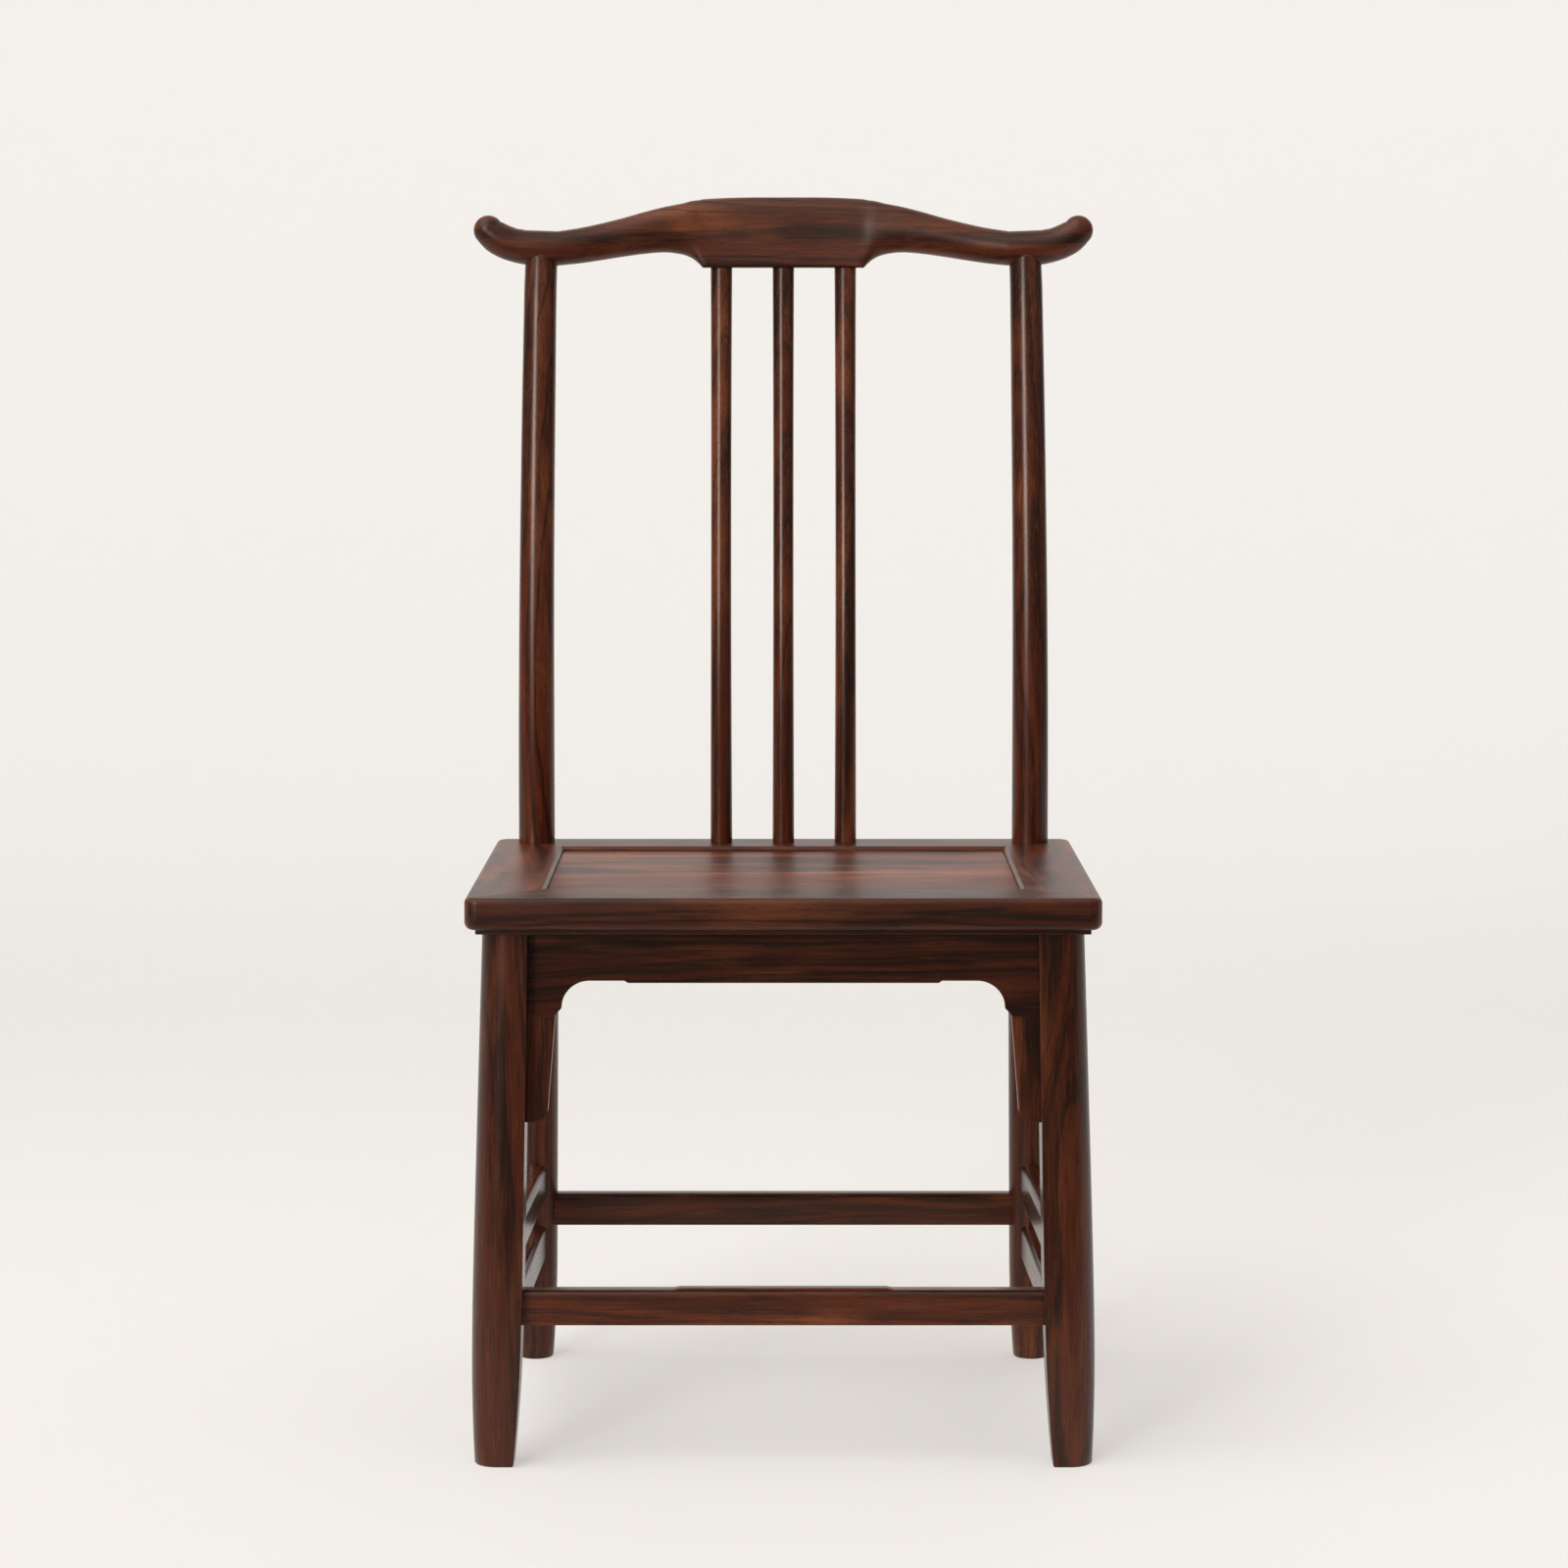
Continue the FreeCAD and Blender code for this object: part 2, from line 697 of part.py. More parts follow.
def make_front_leg():
    """The splayed leg, with a small chamfer round its foot."""
    thick = FRONT_LEG_SHARES[0][1]
    under = front_leg_section("foot_under", 0, "0", thick, "2 * foot_chamfer")
    above = front_leg_section("foot_above", 0, "foot_chamfer", thick)
    loft(front_leg_blank, "front_foot_loft", [under, above])
    sketches = [
        front_leg_section("front_leg_section_%d" % place, height, leg_height(height), thick)
        for place, (height, thick) in enumerate(FRONT_LEG_SHARES)
    ]
    loft(front_leg_blank, "front_leg_loft", sketches)


make_front_leg()
rear_leg_opposite = mirrored("rear_leg_opposite", rear_leg_blank)
front_leg_opposite = mirrored("front_leg_opposite", front_leg_blank)
doc.recompute()


# Seat frame


def edge_profile():
    """The seat's rounded edge from top to bottom: insets of its outline, and depths below its top."""
    near = 1 - math.sqrt(0.5)
    top, under = "edge_top_round", "edge_under_round"
    inner_top, inner_under = ("(%s * %.4f)" % (size, near) for size in (top, under))
    return (
        (top, "0"),
        (inner_top, inner_top),
        ("0", top),
        ("0", "(edge_height - %s)" % under),
        (inner_under, "(edge_height - %s)" % inner_under),
        (under, "edge_height"),
    )


def make_seat_ring():
    """The four seat members before they are parted at the mitres."""
    body = new_body("seat_ring")
    outlines = []
    for place, (inset, drop) in enumerate(edge_profile()):
        level = "seat_height - %s" % drop
        sketch = new_sketch(body, "slab_outline_%d" % place, "XY_Plane", "0", SEAT_MIDDLE, level)
        sides = ["(%s - 2 * %s)" % (side, inset) for side in ("seat_width", "seat_depth")]
        rounded_rectangle(sketch, *sides, ["(corner_round - %s)" % inset] * 4)
        outlines.append(sketch)
    loft(body, "slab", outlines)
    step = new_sketch(body, "step_outline", "XY_Plane", "0", SEAT_MIDDLE, "seat_height - edge_height")
    rectangle(step, "(seat_width - 2 * step_inset)", "(seat_depth - 2 * step_inset)")
    pad(body, "step", step, "step_height", reversed_way=True)
    opening = new_sketch(body, "opening_outline", "XY_Plane", "0", SEAT_MIDDLE, "seat_height")
    rectangle(opening, OPENING_WIDTH, OPENING_DEPTH)
    hole = body.newObject("PartDesign::Pocket", "opening")
    hole.Profile = opening
    hole.Type = "ThroughAll"
    top = number("seat_height")
    dress(
        body,
        "Chamfer",
        "opening_lip",
        hole,
        lambda edge: lies_at(edge, "Z", top) and not edge_is_outer(edge),
        Size="lip_chamfer",
    )
    return body


def edge_is_outer(edge):
    """Whether an edge of the seat's top belongs to its outer outline."""
    box = edge.BoundBox
    reach = number("%s / 2 + frame_width / 2" % OPENING_WIDTH)
    low, high = number(SEAT_FRONT + " + frame_width / 2"), number(SEAT_REAR + " - frame_width / 2")
    return max(abs(box.XMin), abs(box.XMax)) > reach or box.YMin < low or box.YMax > high


def mitre_wedge(name, corners):
    """A prism between mitre planes, from below the seat frame to above it."""
    body = new_body(name)
    sketch = new_sketch(body, name + "_outline", "XY_Plane", "0", "0", LEG_TOP + " - cut_overrun")
    outline(sketch, corners)
    pad(body, name + "_prism", sketch, "edge_height + step_height + 2 * cut_overrun")
    return body


def mitre_corners(side):
    """Plan corners of the wedge that holds the front member (side -1) or the rear one (side 1)."""
    edge = SEAT_FRONT if side < 0 else SEAT_REAR
    far_x = "(seat_width / 2 + cut_overrun)"
    far_y = "%s + %d * cut_overrun" % (edge, side)
    near_x = "(seat_width - seat_depth) / 2"
    corners = [
        ("0 - " + far_x, far_y),
        (far_x, far_y),
        (near_x, SEAT_MIDDLE),
        ("0 - " + near_x, SEAT_MIDDLE),
    ]
    return corners if side < 0 else corners[::-1]


PANEL_SIDE = OPENING_WIDTH + " / 2"
OPENING_FRONT = "(%s + frame_width)" % SEAT_FRONT
OPENING_REAR = "(%s - frame_width)" % SEAT_REAR
TONGUE_TOP = "(%s - tongue_drop)" % PANEL_TOP
TONGUE_UNDER = "(%s - tongue_thickness)" % TONGUE_TOP
BATTEN_UNDER = "(%s - batten_height)" % PANEL_UNDER
MITRE_UNDER = "(%s + mitre_tenon_rise)" % LEG_TOP

seat_ring = make_seat_ring()
panel_groove = block(
    "panel_groove",
    ("0 - %s - groove_depth" % PANEL_SIDE, PANEL_SIDE + " + groove_depth"),
    (OPENING_FRONT + " - groove_depth", OPENING_REAR + " + groove_depth"),
    (TONGUE_UNDER, TONGUE_TOP + " + joint_clearance"),
)


def mitre_tenon(name, side, grow="0"):
    """The long tenon of the front or rear member, which reaches into both side members."""
    reach = "(seat_width / 2 - mitre_tenon_cover)"
    near = "%s %s mitre_tenon_inset" % ((OPENING_FRONT, "-") if side < 0 else (OPENING_REAR, "+"))
    far = "%s + %d * mitre_tenon_width" % (near, side)
    low, high = (far, near) if side < 0 else (near, far)
    span = ("0 - " + reach, reach)
    return block(name, span, (low, high), (MITRE_UNDER, MITRE_UNDER + " + mitre_tenon_height"), grow)


def leg_tenon(name, toward, grow="0"):
    """One of the two tenons on the right front leg: -1 goes into the front member, 1 into the side one."""
    middle_x = "(%s + %d * leg_tenon_offset)" % (FRONT_LEG_X, toward)
    middle_y = "(%s + %d * leg_tenon_offset)" % (FRONT_LEG_Y, toward)
    x, y = (
        ("%s - leg_tenon_width / 2" % middle, "%s + leg_tenon_width / 2" % middle)
        for middle in (middle_x, middle_y)
    )
    return block(name, x, y, (LEG_TOP, LEG_TOP + " + leg_tenon_length"), grow)


def batten_tenon(name, side, grow="0"):
    """The tenons at both ends of a batten, as one long bar into the front and rear members."""
    middle = "batten_spacing / 2 * %d" % side
    x = ("%s - batten_tenon_width / 2" % middle, "%s + batten_tenon_width / 2" % middle)
    y = (OPENING_FRONT + " - batten_tenon_length", OPENING_REAR + " + batten_tenon_length")
    low = BATTEN_UNDER + " + (batten_height - batten_tenon_height) / 2"
    return block(name, x, y, (low, low + " + batten_tenon_height"), grow)


def post_hole(name, side):
    """The hole for a rear leg's neck, through the corner of the seat frame."""
    low, high = LEG_TOP + " - cut_overrun", "seat_height + cut_overrun"
    x = "%s * %d" % (POST_X, side)
    return cylinder(name, x, POST_Y, low, high, "(post_diameter + 2 * joint_clearance)")


def spindle_foot(name, side, grow="0"):
    """A spindle's lower tenon, or with some growth its mortise."""
    low = "seat_height - spindle_tenon_length"
    x = "spindle_spacing * %d" % side
    return square_peg(name, x, POST_Y, low, "seat_height", "spindle_tenon_width", grow)


def make_long_member(name, side):
    """The front or rear member: mitred at both ends, with a tenon at each."""
    blank = common(name + "_blank", seat_ring, mitre_wedge(name + "_wedge", mitre_corners(side)))
    grooved = cut(name + "_grooved", blank, panel_groove)
    solid = fuse(name + "_tenoned", grooved, mitre_tenon(name + "_tenon", side))
    holes = [
        batten_tenon("%s_batten_mortise_%d" % (name, place), place, "joint_clearance") for place in (-1, 1)
    ]
    if side < 0:
        holes += [leg_tenon(name + "_leg_mortise", -1, "joint_clearance")]
        holes += [mirrored(name + "_leg_mortise_opposite", holes[-1])]
    else:
        holes += [post_hole("%s_post_hole_%d" % (name, place), place) for place in (-1, 1)]
        holes += [
            spindle_foot("%s_spindle_mortise_%d" % (name, place), place, "joint_clearance")
            for place in (-1, 0, 1)
        ]
    return cut(name, solid, *holes)


def make_side_member(name):
    """The right-hand member, with the mortises of both mitres."""
    corners = (
        ("seat_width / 2 + cut_overrun", SEAT_FRONT + " - cut_overrun"),
        ("seat_width / 2 + cut_overrun", SEAT_REAR + " + cut_overrun"),
        ("(seat_width - seat_depth) / 2", SEAT_MIDDLE),
    )
    blank = common(name + "_blank", seat_ring, mitre_wedge(name + "_wedge", corners))
    holes = [panel_groove]
    holes += [mitre_tenon("%s_mortise_%d" % (name, side), side, "joint_clearance") for side in (-1, 1)]
    holes += [leg_tenon(name + "_leg_mortise", 1, "joint_clearance"), post_hole(name + "_post_hole", 1)]
    return cut(name, blank, *holes)


seat_frame_front = make_long_member("seat_frame_front", -1)
seat_frame_rear = make_long_member("seat_frame_rear", 1)
seat_frame_right = make_side_member("seat_frame_right")
seat_frame_left = mirrored("seat_frame_left", seat_frame_right)
doc.recompute()


# Panel and battens


def make_batten(name, side, grow="0", length=OPENING_DEPTH):
    """A batten with a dovetail along its top; with some growth, the channel that it slides in."""
    body = new_body(name)
    middle = "batten_spacing / 2 * %d" % side
    sketch = new_sketch(body, name + "_section", "XZ_Plane", middle, PANEL_UNDER, "0 - " + SEAT_MIDDLE)
    neck = "(batten_width / 2 + %s)" % grow
    flared = "(batten_width / 2 + dovetail_flare + %s)" % grow
    foot = "(batten_width / 2 - batten_taper / 2)"
    corners = (
        ("0 - " + foot, "0 - batten_height"),
        (foot, "0 - batten_height"),
        (neck, "0"),
        (flared, "dovetail_height + " + grow),
        ("0 - " + flared, "dovetail_height + " + grow),
        ("0 - " + neck, "0"),
    )
    outline(sketch, corners)
    pad(body, name + "_bar", sketch, length, midplane=True)
    return body


def make_panel():
    body = new_body("seat_panel_blank")
    face = new_sketch(body, "panel_outline", "XY_Plane", "0", SEAT_MIDDLE, PANEL_TOP)
    rectangle(face, "(%s - 2 * panel_gap)" % OPENING_WIDTH, "(%s - 2 * panel_gap)" % OPENING_DEPTH)
    pad(body, "panel_board", face, "panel_thickness", reversed_way=True)
    tongue = new_sketch(body, "tongue_outline", "XY_Plane", "0", SEAT_MIDDLE, TONGUE_TOP)
    reach = "2 * (groove_depth - groove_play)"
    rectangle(tongue, "(%s + %s)" % (OPENING_WIDTH, reach), "(%s + %s)" % (OPENING_DEPTH, reach))
    pad(body, "panel_tongue", tongue, "tongue_thickness", reversed_way=True)
    channels = [
        make_batten("batten_channel_%s" % word, side, "joint_clearance", "seat_depth")
        for word, side in (("left", -1), ("right", 1))
    ]
    return cut("seat_panel", body, *channels)


seat_panel = make_panel()
seat_battens = []
for word, side in (("left", -1), ("right", 1)):
    bar = make_batten("batten_bar_" + word, side, "0", "(%s - 2 * joint_clearance)" % OPENING_DEPTH)
    tenons = batten_tenon("batten_tenons_" + word, side)
    seat_battens.append(fuse("seat_batten_" + word, bar, tenons))
doc.recompute()


# Stretchers


def front_leg_at(height):
    """The front leg's centre in plan at a height."""
    rest = "(1 - %s / %s)" % (height, LEG_TOP)
    return (
        "(%s + front_splay_out * %s)" % (FRONT_LEG_X, rest),
        "(%s - front_splay_forward * %s)" % (FRONT_LEG_Y, rest),
    )


def rear_leg_at(height):
    """The rear leg's centre in plan at a height."""
    rest = "(1 - %s / %s)" % (height, LEG_TOP)
    return (
        "(%s + rear_splay_out * %s)" % (POST_X, rest),
        "(%s + rear_splay_back * %s)" % (POST_Y, rest),
    )


STRETCHER_ROUNDS = (None, "stretcher_round", "stretcher_round", None)
TENON_HALVES = ("stretcher_tenon_thickness / 2", "stretcher_tenon_height / 2")


def cross_tenons(name, leg_at, height, grow="0"):
    """The tenons of a stretcher between left and right legs, as one bar from leg centre to leg centre."""
    x, y = leg_at(height)
    half_y, half_z = TENON_HALVES
    y_span = ("%s - %s" % (y, half_y), "%s + %s" % (y, half_y))
    z_span = ("%s - %s" % (height, half_z), "%s + %s" % (height, half_z))
    return block(name, ("0 - " + x, x), y_span, z_span, grow)


def make_cross_stretcher(name, leg_at, blanks, *additions):
    """A stretcher along X, scribed to the left and right legs."""
    height = name + "_centre"
    x, y = leg_at(height)
    body = new_body(name + "_bar")
    sketch = new_sketch(body, name + "_section", "YZ_Plane", y, height)
    rounded_rectangle(sketch, name + "_depth", name + "_height", STRETCHER_ROUNDS)
    pad(body, name + "_pad", sketch, "2 * " + x, midplane=True)
    scribed = cut(name + "_scribed", body, *blanks)
    return fuse(name, scribed, cross_tenons(name + "_tenons", leg_at, height), *additions)


def make_raised_middle():
    """The slightly higher middle of the front stretcher's top, with a ramp at each end."""
    body = new_body("front_stretcher_raised")
    top = "front_stretcher_centre + front_stretcher_height / 2"
    y = front_leg_at("front_stretcher_centre")[1]
    sketch = new_sketch(body, "front_stretcher_ramps", "XZ_Plane", "0", top, "0 - " + y)
    half = "(front_stretcher_raised_length / 2)"
    far = half + " + front_stretcher_ramp"
    under = "0 - stretcher_round"
    corners = (
        ("0 - (%s)" % far, under),
        (far, under),
        (far, "0"),
        (half, "front_stretcher_raise"),
        ("0 - " + half, "front_stretcher_raise"),
        ("0 - (%s)" % far, "0"),
    )
    outline(sketch, corners)
    pad(body, "front_stretcher_raised_pad", sketch, "front_stretcher_raised_width", midplane=True)
    return body


front_blanks = (front_leg_blank, front_leg_opposite)
rear_blanks = (rear_leg_blank, rear_leg_opposite)
front_stretcher = make_cross_stretcher("front_stretcher", front_leg_at, front_blanks, make_raised_middle())
rear_stretcher = make_cross_stretcher("rear_stretcher", rear_leg_at, rear_blanks)


def side_bar(name, height, width, tall, rounds=None):
    """A bar from the front leg's centre to the rear leg's centre at a height."""
    body = new_body(name)
    sketch = new_sketch(body, name + "_section", "XZ_Plane")
    if rounds:
        rounded_rectangle(sketch, width, tall, rounds)
    else:
        rectangle(sketch, width, tall)
    front_x, front_y = front_leg_at(height)
    rear_x, rear_y = rear_leg_at(height)
    across = "(%s - %s)" % (front_x, rear_x)
    along = "(%s - %s)" % (rear_y, front_y)
    pad(body, name + "_pad", sketch, "sqrt(%s ^ 2 + %s ^ 2)" % (across, along), reversed_way=True)
    bind_place(body, front_x, front_y, height)
    body.Placement.Rotation = FreeCAD.Rotation(Vector(0, 0, 1), 1)
    body.setExpression(".Placement.Rotation.Angle", link("atan(%s / %s)" % (across, along)))
    return body


def make_side_stretcher(level):
    """A right-hand stretcher, scribed to both legs."""
    name = "side_stretcher_%s_right" % level
    height = "side_%s_centre" % level
    bar = side_bar(name + "_bar", height, "side_stretcher_width", "side_stretcher_height", STRETCHER_ROUNDS)
    scribed = cut(name + "_scribed", bar, front_leg_blank, rear_leg_blank)
    tenons = side_bar(name + "_tenons", height, "stretcher_tenon_thickness", "stretcher_tenon_height")
    return fuse(name, scribed, tenons)


def side_mortise(level):
    name = "side_%s_mortise" % level
    width = "(stretcher_tenon_thickness + 2 * joint_clearance)"
    tall = "(stretcher_tenon_height + 2 * joint_clearance)"
    return side_bar(name, "side_%s_centre" % level, width, tall)


side_stretchers = {level: make_side_stretcher(level) for level in ("upper", "lower")}
side_mortises = [side_mortise(level) for level in ("upper", "lower")]
doc.recompute()


# Aprons and strips

EAR_UNDER = "(%s - ear_height)" % LEG_TOP
STRIP_UNDER = "(%s - strip_length)" % EAR_UNDER
ARCH_X = "(%s - ear_width)" % FRONT_LEG_X
STRIP_LOWER = "(%s + strip_bottom_inset)" % ARCH_X
SIDE_APRON_X = "(seat_width / 2 - side_apron_inset)"


def mirrored_outline(right):
    """A closed outline whose right half is given from the middle of the bottom up to the top's end."""
    left = []
    for place in range(len(right) - 1, -1, -1):
        corner = ("0 - (%s)" % right[place][0], right[place][1])
        before = right[place - 1]
        left.append(corner + before[2:] if place and len(before) == 3 else corner)
    return list(right) + left


def make_front_apron():
    """A board with an arched corner at each end, a cusp at each ear and a slightly deeper middle."""
    body = new_body("front_apron_board")
    sketch = new_sketch(body, "front_apron_outline", "XZ_Plane", "0", "0", "0 - " + APRON_Y)
    edge = "(%s - apron_height)" % LEG_TOP
    middle = "(%s - apron_middle_inset)" % ARCH_X
    arch_x = "(%s - arch_radius)" % ARCH_X
    cusp_z = "(%s + ear_cusp)" % EAR_UNDER
    arch_end = "(%s + sqrt(arch_radius ^ 2 - (%s - %s + arch_radius) ^ 2))" % (arch_x, cusp_z, edge)
    right = (
        (middle, edge + " - apron_middle_drop"),
        (middle + " + apron_middle_run", edge),
        (arch_x, edge, "0 - arch_radius"),
        (arch_end, cusp_z),
        (arch_end + " + ear_cusp", EAR_UNDER),
        (FRONT_LEG_X, EAR_UNDER),
        (FRONT_LEG_X, LEG_TOP),
    )
    outline(sketch, mirrored_outline(right))
    pad(body, "front_apron_pad", sketch, "apron_thickness", midplane=True)
    scribed = cut("front_apron_scribed", body, front_leg_blank, front_leg_opposite)
    tongue = leg_tongue("front_apron_tongue", EAR_UNDER, LEG_TOP)
    return fuse("front_apron", scribed, tongue, mirrored("front_apron_tongue_opposite", tongue))


def leg_tongue(name, low, high, grow="0"):
    """The tongue of the apron or the strip in the right front leg, or with some growth its groove."""
    x = (STRIP_LOWER + " + strip_round", FRONT_LEG_X + " - tongue_stop")
    y = tuple("%s %s tongue_width / 2" % (APRON_Y, sign) for sign in "-+")
    return block(name, x, y, (low, high), grow)


def make_strip():
    """The right-hand strip below the ear, narrowing to a rounded lower end."""
    body = new_body("front_strip_board")
    sketch = new_sketch(body, "front_strip_outline", "XZ_Plane", "0", "0", "0 - " + APRON_Y)
    corners = (
        (ARCH_X + " + strip_top_inset", EAR_UNDER),
        (STRIP_LOWER, STRIP_UNDER + " + strip_round", "strip_round"),
        (STRIP_LOWER + " + strip_round", STRIP_UNDER),
        (FRONT_LEG_X, STRIP_UNDER),
        (FRONT_LEG_X, EAR_UNDER),
    )
    outline(sketch, corners)
    pad(body, "front_strip_pad", sketch, "strip_thickness", midplane=True)
    scribed = cut("front_strip_scribed", body, front_leg_blank)
    tongue = leg_tongue("front_strip_tongue", STRIP_UNDER, EAR_UNDER)
    return fuse("front_strip_right", scribed, tongue)


def side_apron_board(name, thickness, front, rear, grow="0"):
    low = LEG_TOP + " - side_apron_height"
    x = tuple("%s %s %s / 2" % (SIDE_APRON_X, sign, thickness) for sign in "-+")
    return block(name, x, (front, rear), (low, LEG_TOP), grow)


def rear_apron_board(name, reach, thickness, grow="0"):
    low = LEG_TOP + " - rear_apron_height"
    y = tuple("%s %s %s / 2" % (POST_Y, sign, thickness) for sign in "-+")
    return block(name, ("0 - " + reach, reach), y, (low, LEG_TOP), grow)


SIDE_TONGUE = ("tongue_width", FRONT_LEG_Y + " + tongue_stop", POST_Y + " - tongue_stop")
REAR_TONGUE = ("(%s - tongue_stop)" % POST_X, "tongue_width")


def make_side_apron():
    board = side_apron_board("side_apron_board", "side_apron_thickness", FRONT_LEG_Y, POST_Y)
    scribed = cut("side_apron_scribed", board, front_leg_blank, rear_leg_blank)
    return fuse("side_apron_right", scribed, side_apron_board("side_apron_tongue", *SIDE_TONGUE))


def make_rear_apron():
    board = rear_apron_board("rear_apron_board", POST_X, "rear_apron_thickness")
    scribed = cut("rear_apron_scribed", board, rear_leg_blank, rear_leg_opposite)
    return fuse("rear_apron", scribed, rear_apron_board("rear_apron_tongue", *REAR_TONGUE))


front_apron = make_front_apron()
front_strip_right = make_strip()
side_apron_right = make_side_apron()
rear_apron = make_rear_apron()
doc.recompute()


# Spindles, and the joints of the back with the crest


def spindle_head(name, side, grow="0"):
    """A spindle's upper tenon, or with some growth its mortise."""
    x, y, low = along_spindle(side, 1)
    return square_peg(name, x, y, low, BLOCK_UNDER + " + spindle_tenon_length", "spindle_tenon_width", grow)


def post_head(name, grow="0"):
    """The right-hand post's upper tenon, or with some growth its mortise."""
    x, y, _ = along_post(1)
    low = POST_TOP + " - crest_arm_diameter / 2"
    return square_peg(name, x, y, low, POST_TOP + " + post_tenon_length", "post_tenon_width", grow)


def make_spindle(word, side):
    """A slender spindle that ends at the crest's flat underside, with a tenon at each end."""
    stations = []
    for place in range(SPINDLE_COUNT + 1):
        height = place / SPINDLE_COUNT
        waist = interpolate(SPINDLE_SHARES, height)[1]
        diameter = "spindle_diameter - (spindle_diameter - spindle_waist) * %.4f" % waist
        stations.append(along_spindle(side, height) + (diameter,))
    body = new_body("spindle_bar_" + word)
    add_round_loft(body, "spindle_" + word, stations)
    foot = spindle_foot("spindle_foot_" + word, side)
    return fuse("spindle_" + word, body, foot, spindle_head("spindle_head_" + word, side))


def make_crest_rail():
    mortises = [spindle_head("spindle_mortise_%d" % side, side, "joint_clearance") for side in (-1, 0, 1)]
    mortises.append(post_head("post_mortise", "joint_clearance"))
    mortises.append(mirrored("post_mortise_opposite", mortises[-1]))
    return cut("crest_rail", crest_blank, *mortises)


spindles = [make_spindle(word, side) for word, side in (("left", -1), ("centre", 0), ("right", 1))]
crest_rail = make_crest_rail()


# Legs, with every mortise


def make_rear_leg_right():
    scribed = cut("rear_leg_scribed", rear_leg_blank, crest_blank)
    whole = fuse("rear_leg_whole", scribed, post_head("post_tenon"))
    clear = "joint_clearance"
    mortises = [
        cross_tenons("rear_stretcher_mortises", rear_leg_at, "rear_stretcher_centre", clear),
        side_apron_board("rear_leg_side_groove", *SIDE_TONGUE, clear),
        rear_apron_board("rear_leg_groove", *REAR_TONGUE, clear),
    ]
    return cut("rear_leg_right", whole, *mortises, *side_mortises)


def make_front_leg_right():
    tenons = [leg_tenon("front_leg_tenon_%s" % word, way) for word, way in (("front", -1), ("side", 1))]
    whole = fuse("front_leg_whole", front_leg_blank, *tenons)
    clear = "joint_clearance"
    mortises = [
        cross_tenons("front_stretcher_mortises", front_leg_at, "front_stretcher_centre", clear),
        side_apron_board("front_leg_side_groove", *SIDE_TONGUE, clear),
        leg_tongue("front_leg_groove", STRIP_UNDER, LEG_TOP, clear),
    ]
    return cut("front_leg_right", whole, *mortises, *side_mortises)


rear_leg_right = make_rear_leg_right()
front_leg_right = make_front_leg_right()
right_pieces = (
    rear_leg_right,
    front_leg_right,
    front_strip_right,
    side_apron_right,
    side_stretchers["upper"],
    side_stretchers["lower"],
)
left_pieces = [mirrored(piece.Name.replace("_right", "_left"), piece) for piece in right_pieces]
doc.recompute()

nodes = [
    crest_rail,
    *spindles,
    *right_pieces,
    *left_pieces,
    seat_frame_front,
    seat_frame_rear,
    seat_frame_left,
    seat_frame_right,
    seat_panel,
    *seat_battens,
    front_apron,
    rear_apron,
    front_stretcher,
    rear_stretcher,
]

for thing in doc.Objects:
    if "Invalid" in thing.State or "Error" in thing.State:
        raise RuntimeError("%s failed: %s" % (thing.Name, thing.State))
for node in nodes:
    if node.Shape.isNull() or not node.Shape.isValid() or len(node.Shape.Solids) != 1:
        raise RuntimeError("%s is not one valid solid" % node.Label)

os.makedirs("parts", exist_ok=True)
for node in nodes:
    node.Shape.exportStep("parts/%s.step" % node.Label)
print("%d pieces written" % len(nodes))
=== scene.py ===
"""Dressed yoke-back side chair: smooth wooden members, figured rosewood, a pale seamless studio."""
from math import copysign, cos, log, pi, radians, sin, sqrt, tan

import bmesh
import bpy
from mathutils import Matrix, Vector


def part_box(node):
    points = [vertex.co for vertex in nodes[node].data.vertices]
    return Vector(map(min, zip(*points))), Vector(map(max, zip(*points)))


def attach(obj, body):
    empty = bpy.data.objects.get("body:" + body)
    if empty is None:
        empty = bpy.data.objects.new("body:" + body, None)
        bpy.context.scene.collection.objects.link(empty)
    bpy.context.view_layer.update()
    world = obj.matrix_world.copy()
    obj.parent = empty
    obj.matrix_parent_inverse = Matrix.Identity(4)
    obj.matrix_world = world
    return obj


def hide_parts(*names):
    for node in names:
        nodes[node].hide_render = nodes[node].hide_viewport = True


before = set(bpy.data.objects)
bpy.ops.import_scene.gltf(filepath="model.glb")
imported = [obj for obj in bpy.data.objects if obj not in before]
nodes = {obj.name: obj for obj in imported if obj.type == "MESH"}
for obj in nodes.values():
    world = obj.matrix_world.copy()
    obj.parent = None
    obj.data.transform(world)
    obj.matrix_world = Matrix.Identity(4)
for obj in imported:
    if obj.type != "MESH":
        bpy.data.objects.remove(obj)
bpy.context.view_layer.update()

scene = bpy.context.scene

# Camera: a long lens that looks down about six degrees
SENSOR_WIDTH, FOCAL_LENGTH = 36.0, 97.26
CAMERA_PLACE = (0.0006, -3.8067, 0.9681)
LOOK_DOWN = 6.015
FAR_CLIP = 60.0
lens = bpy.data.cameras.new("camera")
lens.sensor_width = SENSOR_WIDTH
lens.lens = FOCAL_LENGTH
lens.clip_end = FAR_CLIP
lens.dof.use_dof = False
camera = bpy.data.objects.new("camera", lens)
camera.location = CAMERA_PLACE
camera.rotation_euler = (radians(90.0 - LOOK_DOWN), 0.0, 0.0)
scene.collection.objects.link(camera)
scene.camera = camera
scene.view_settings.view_transform = "Standard"


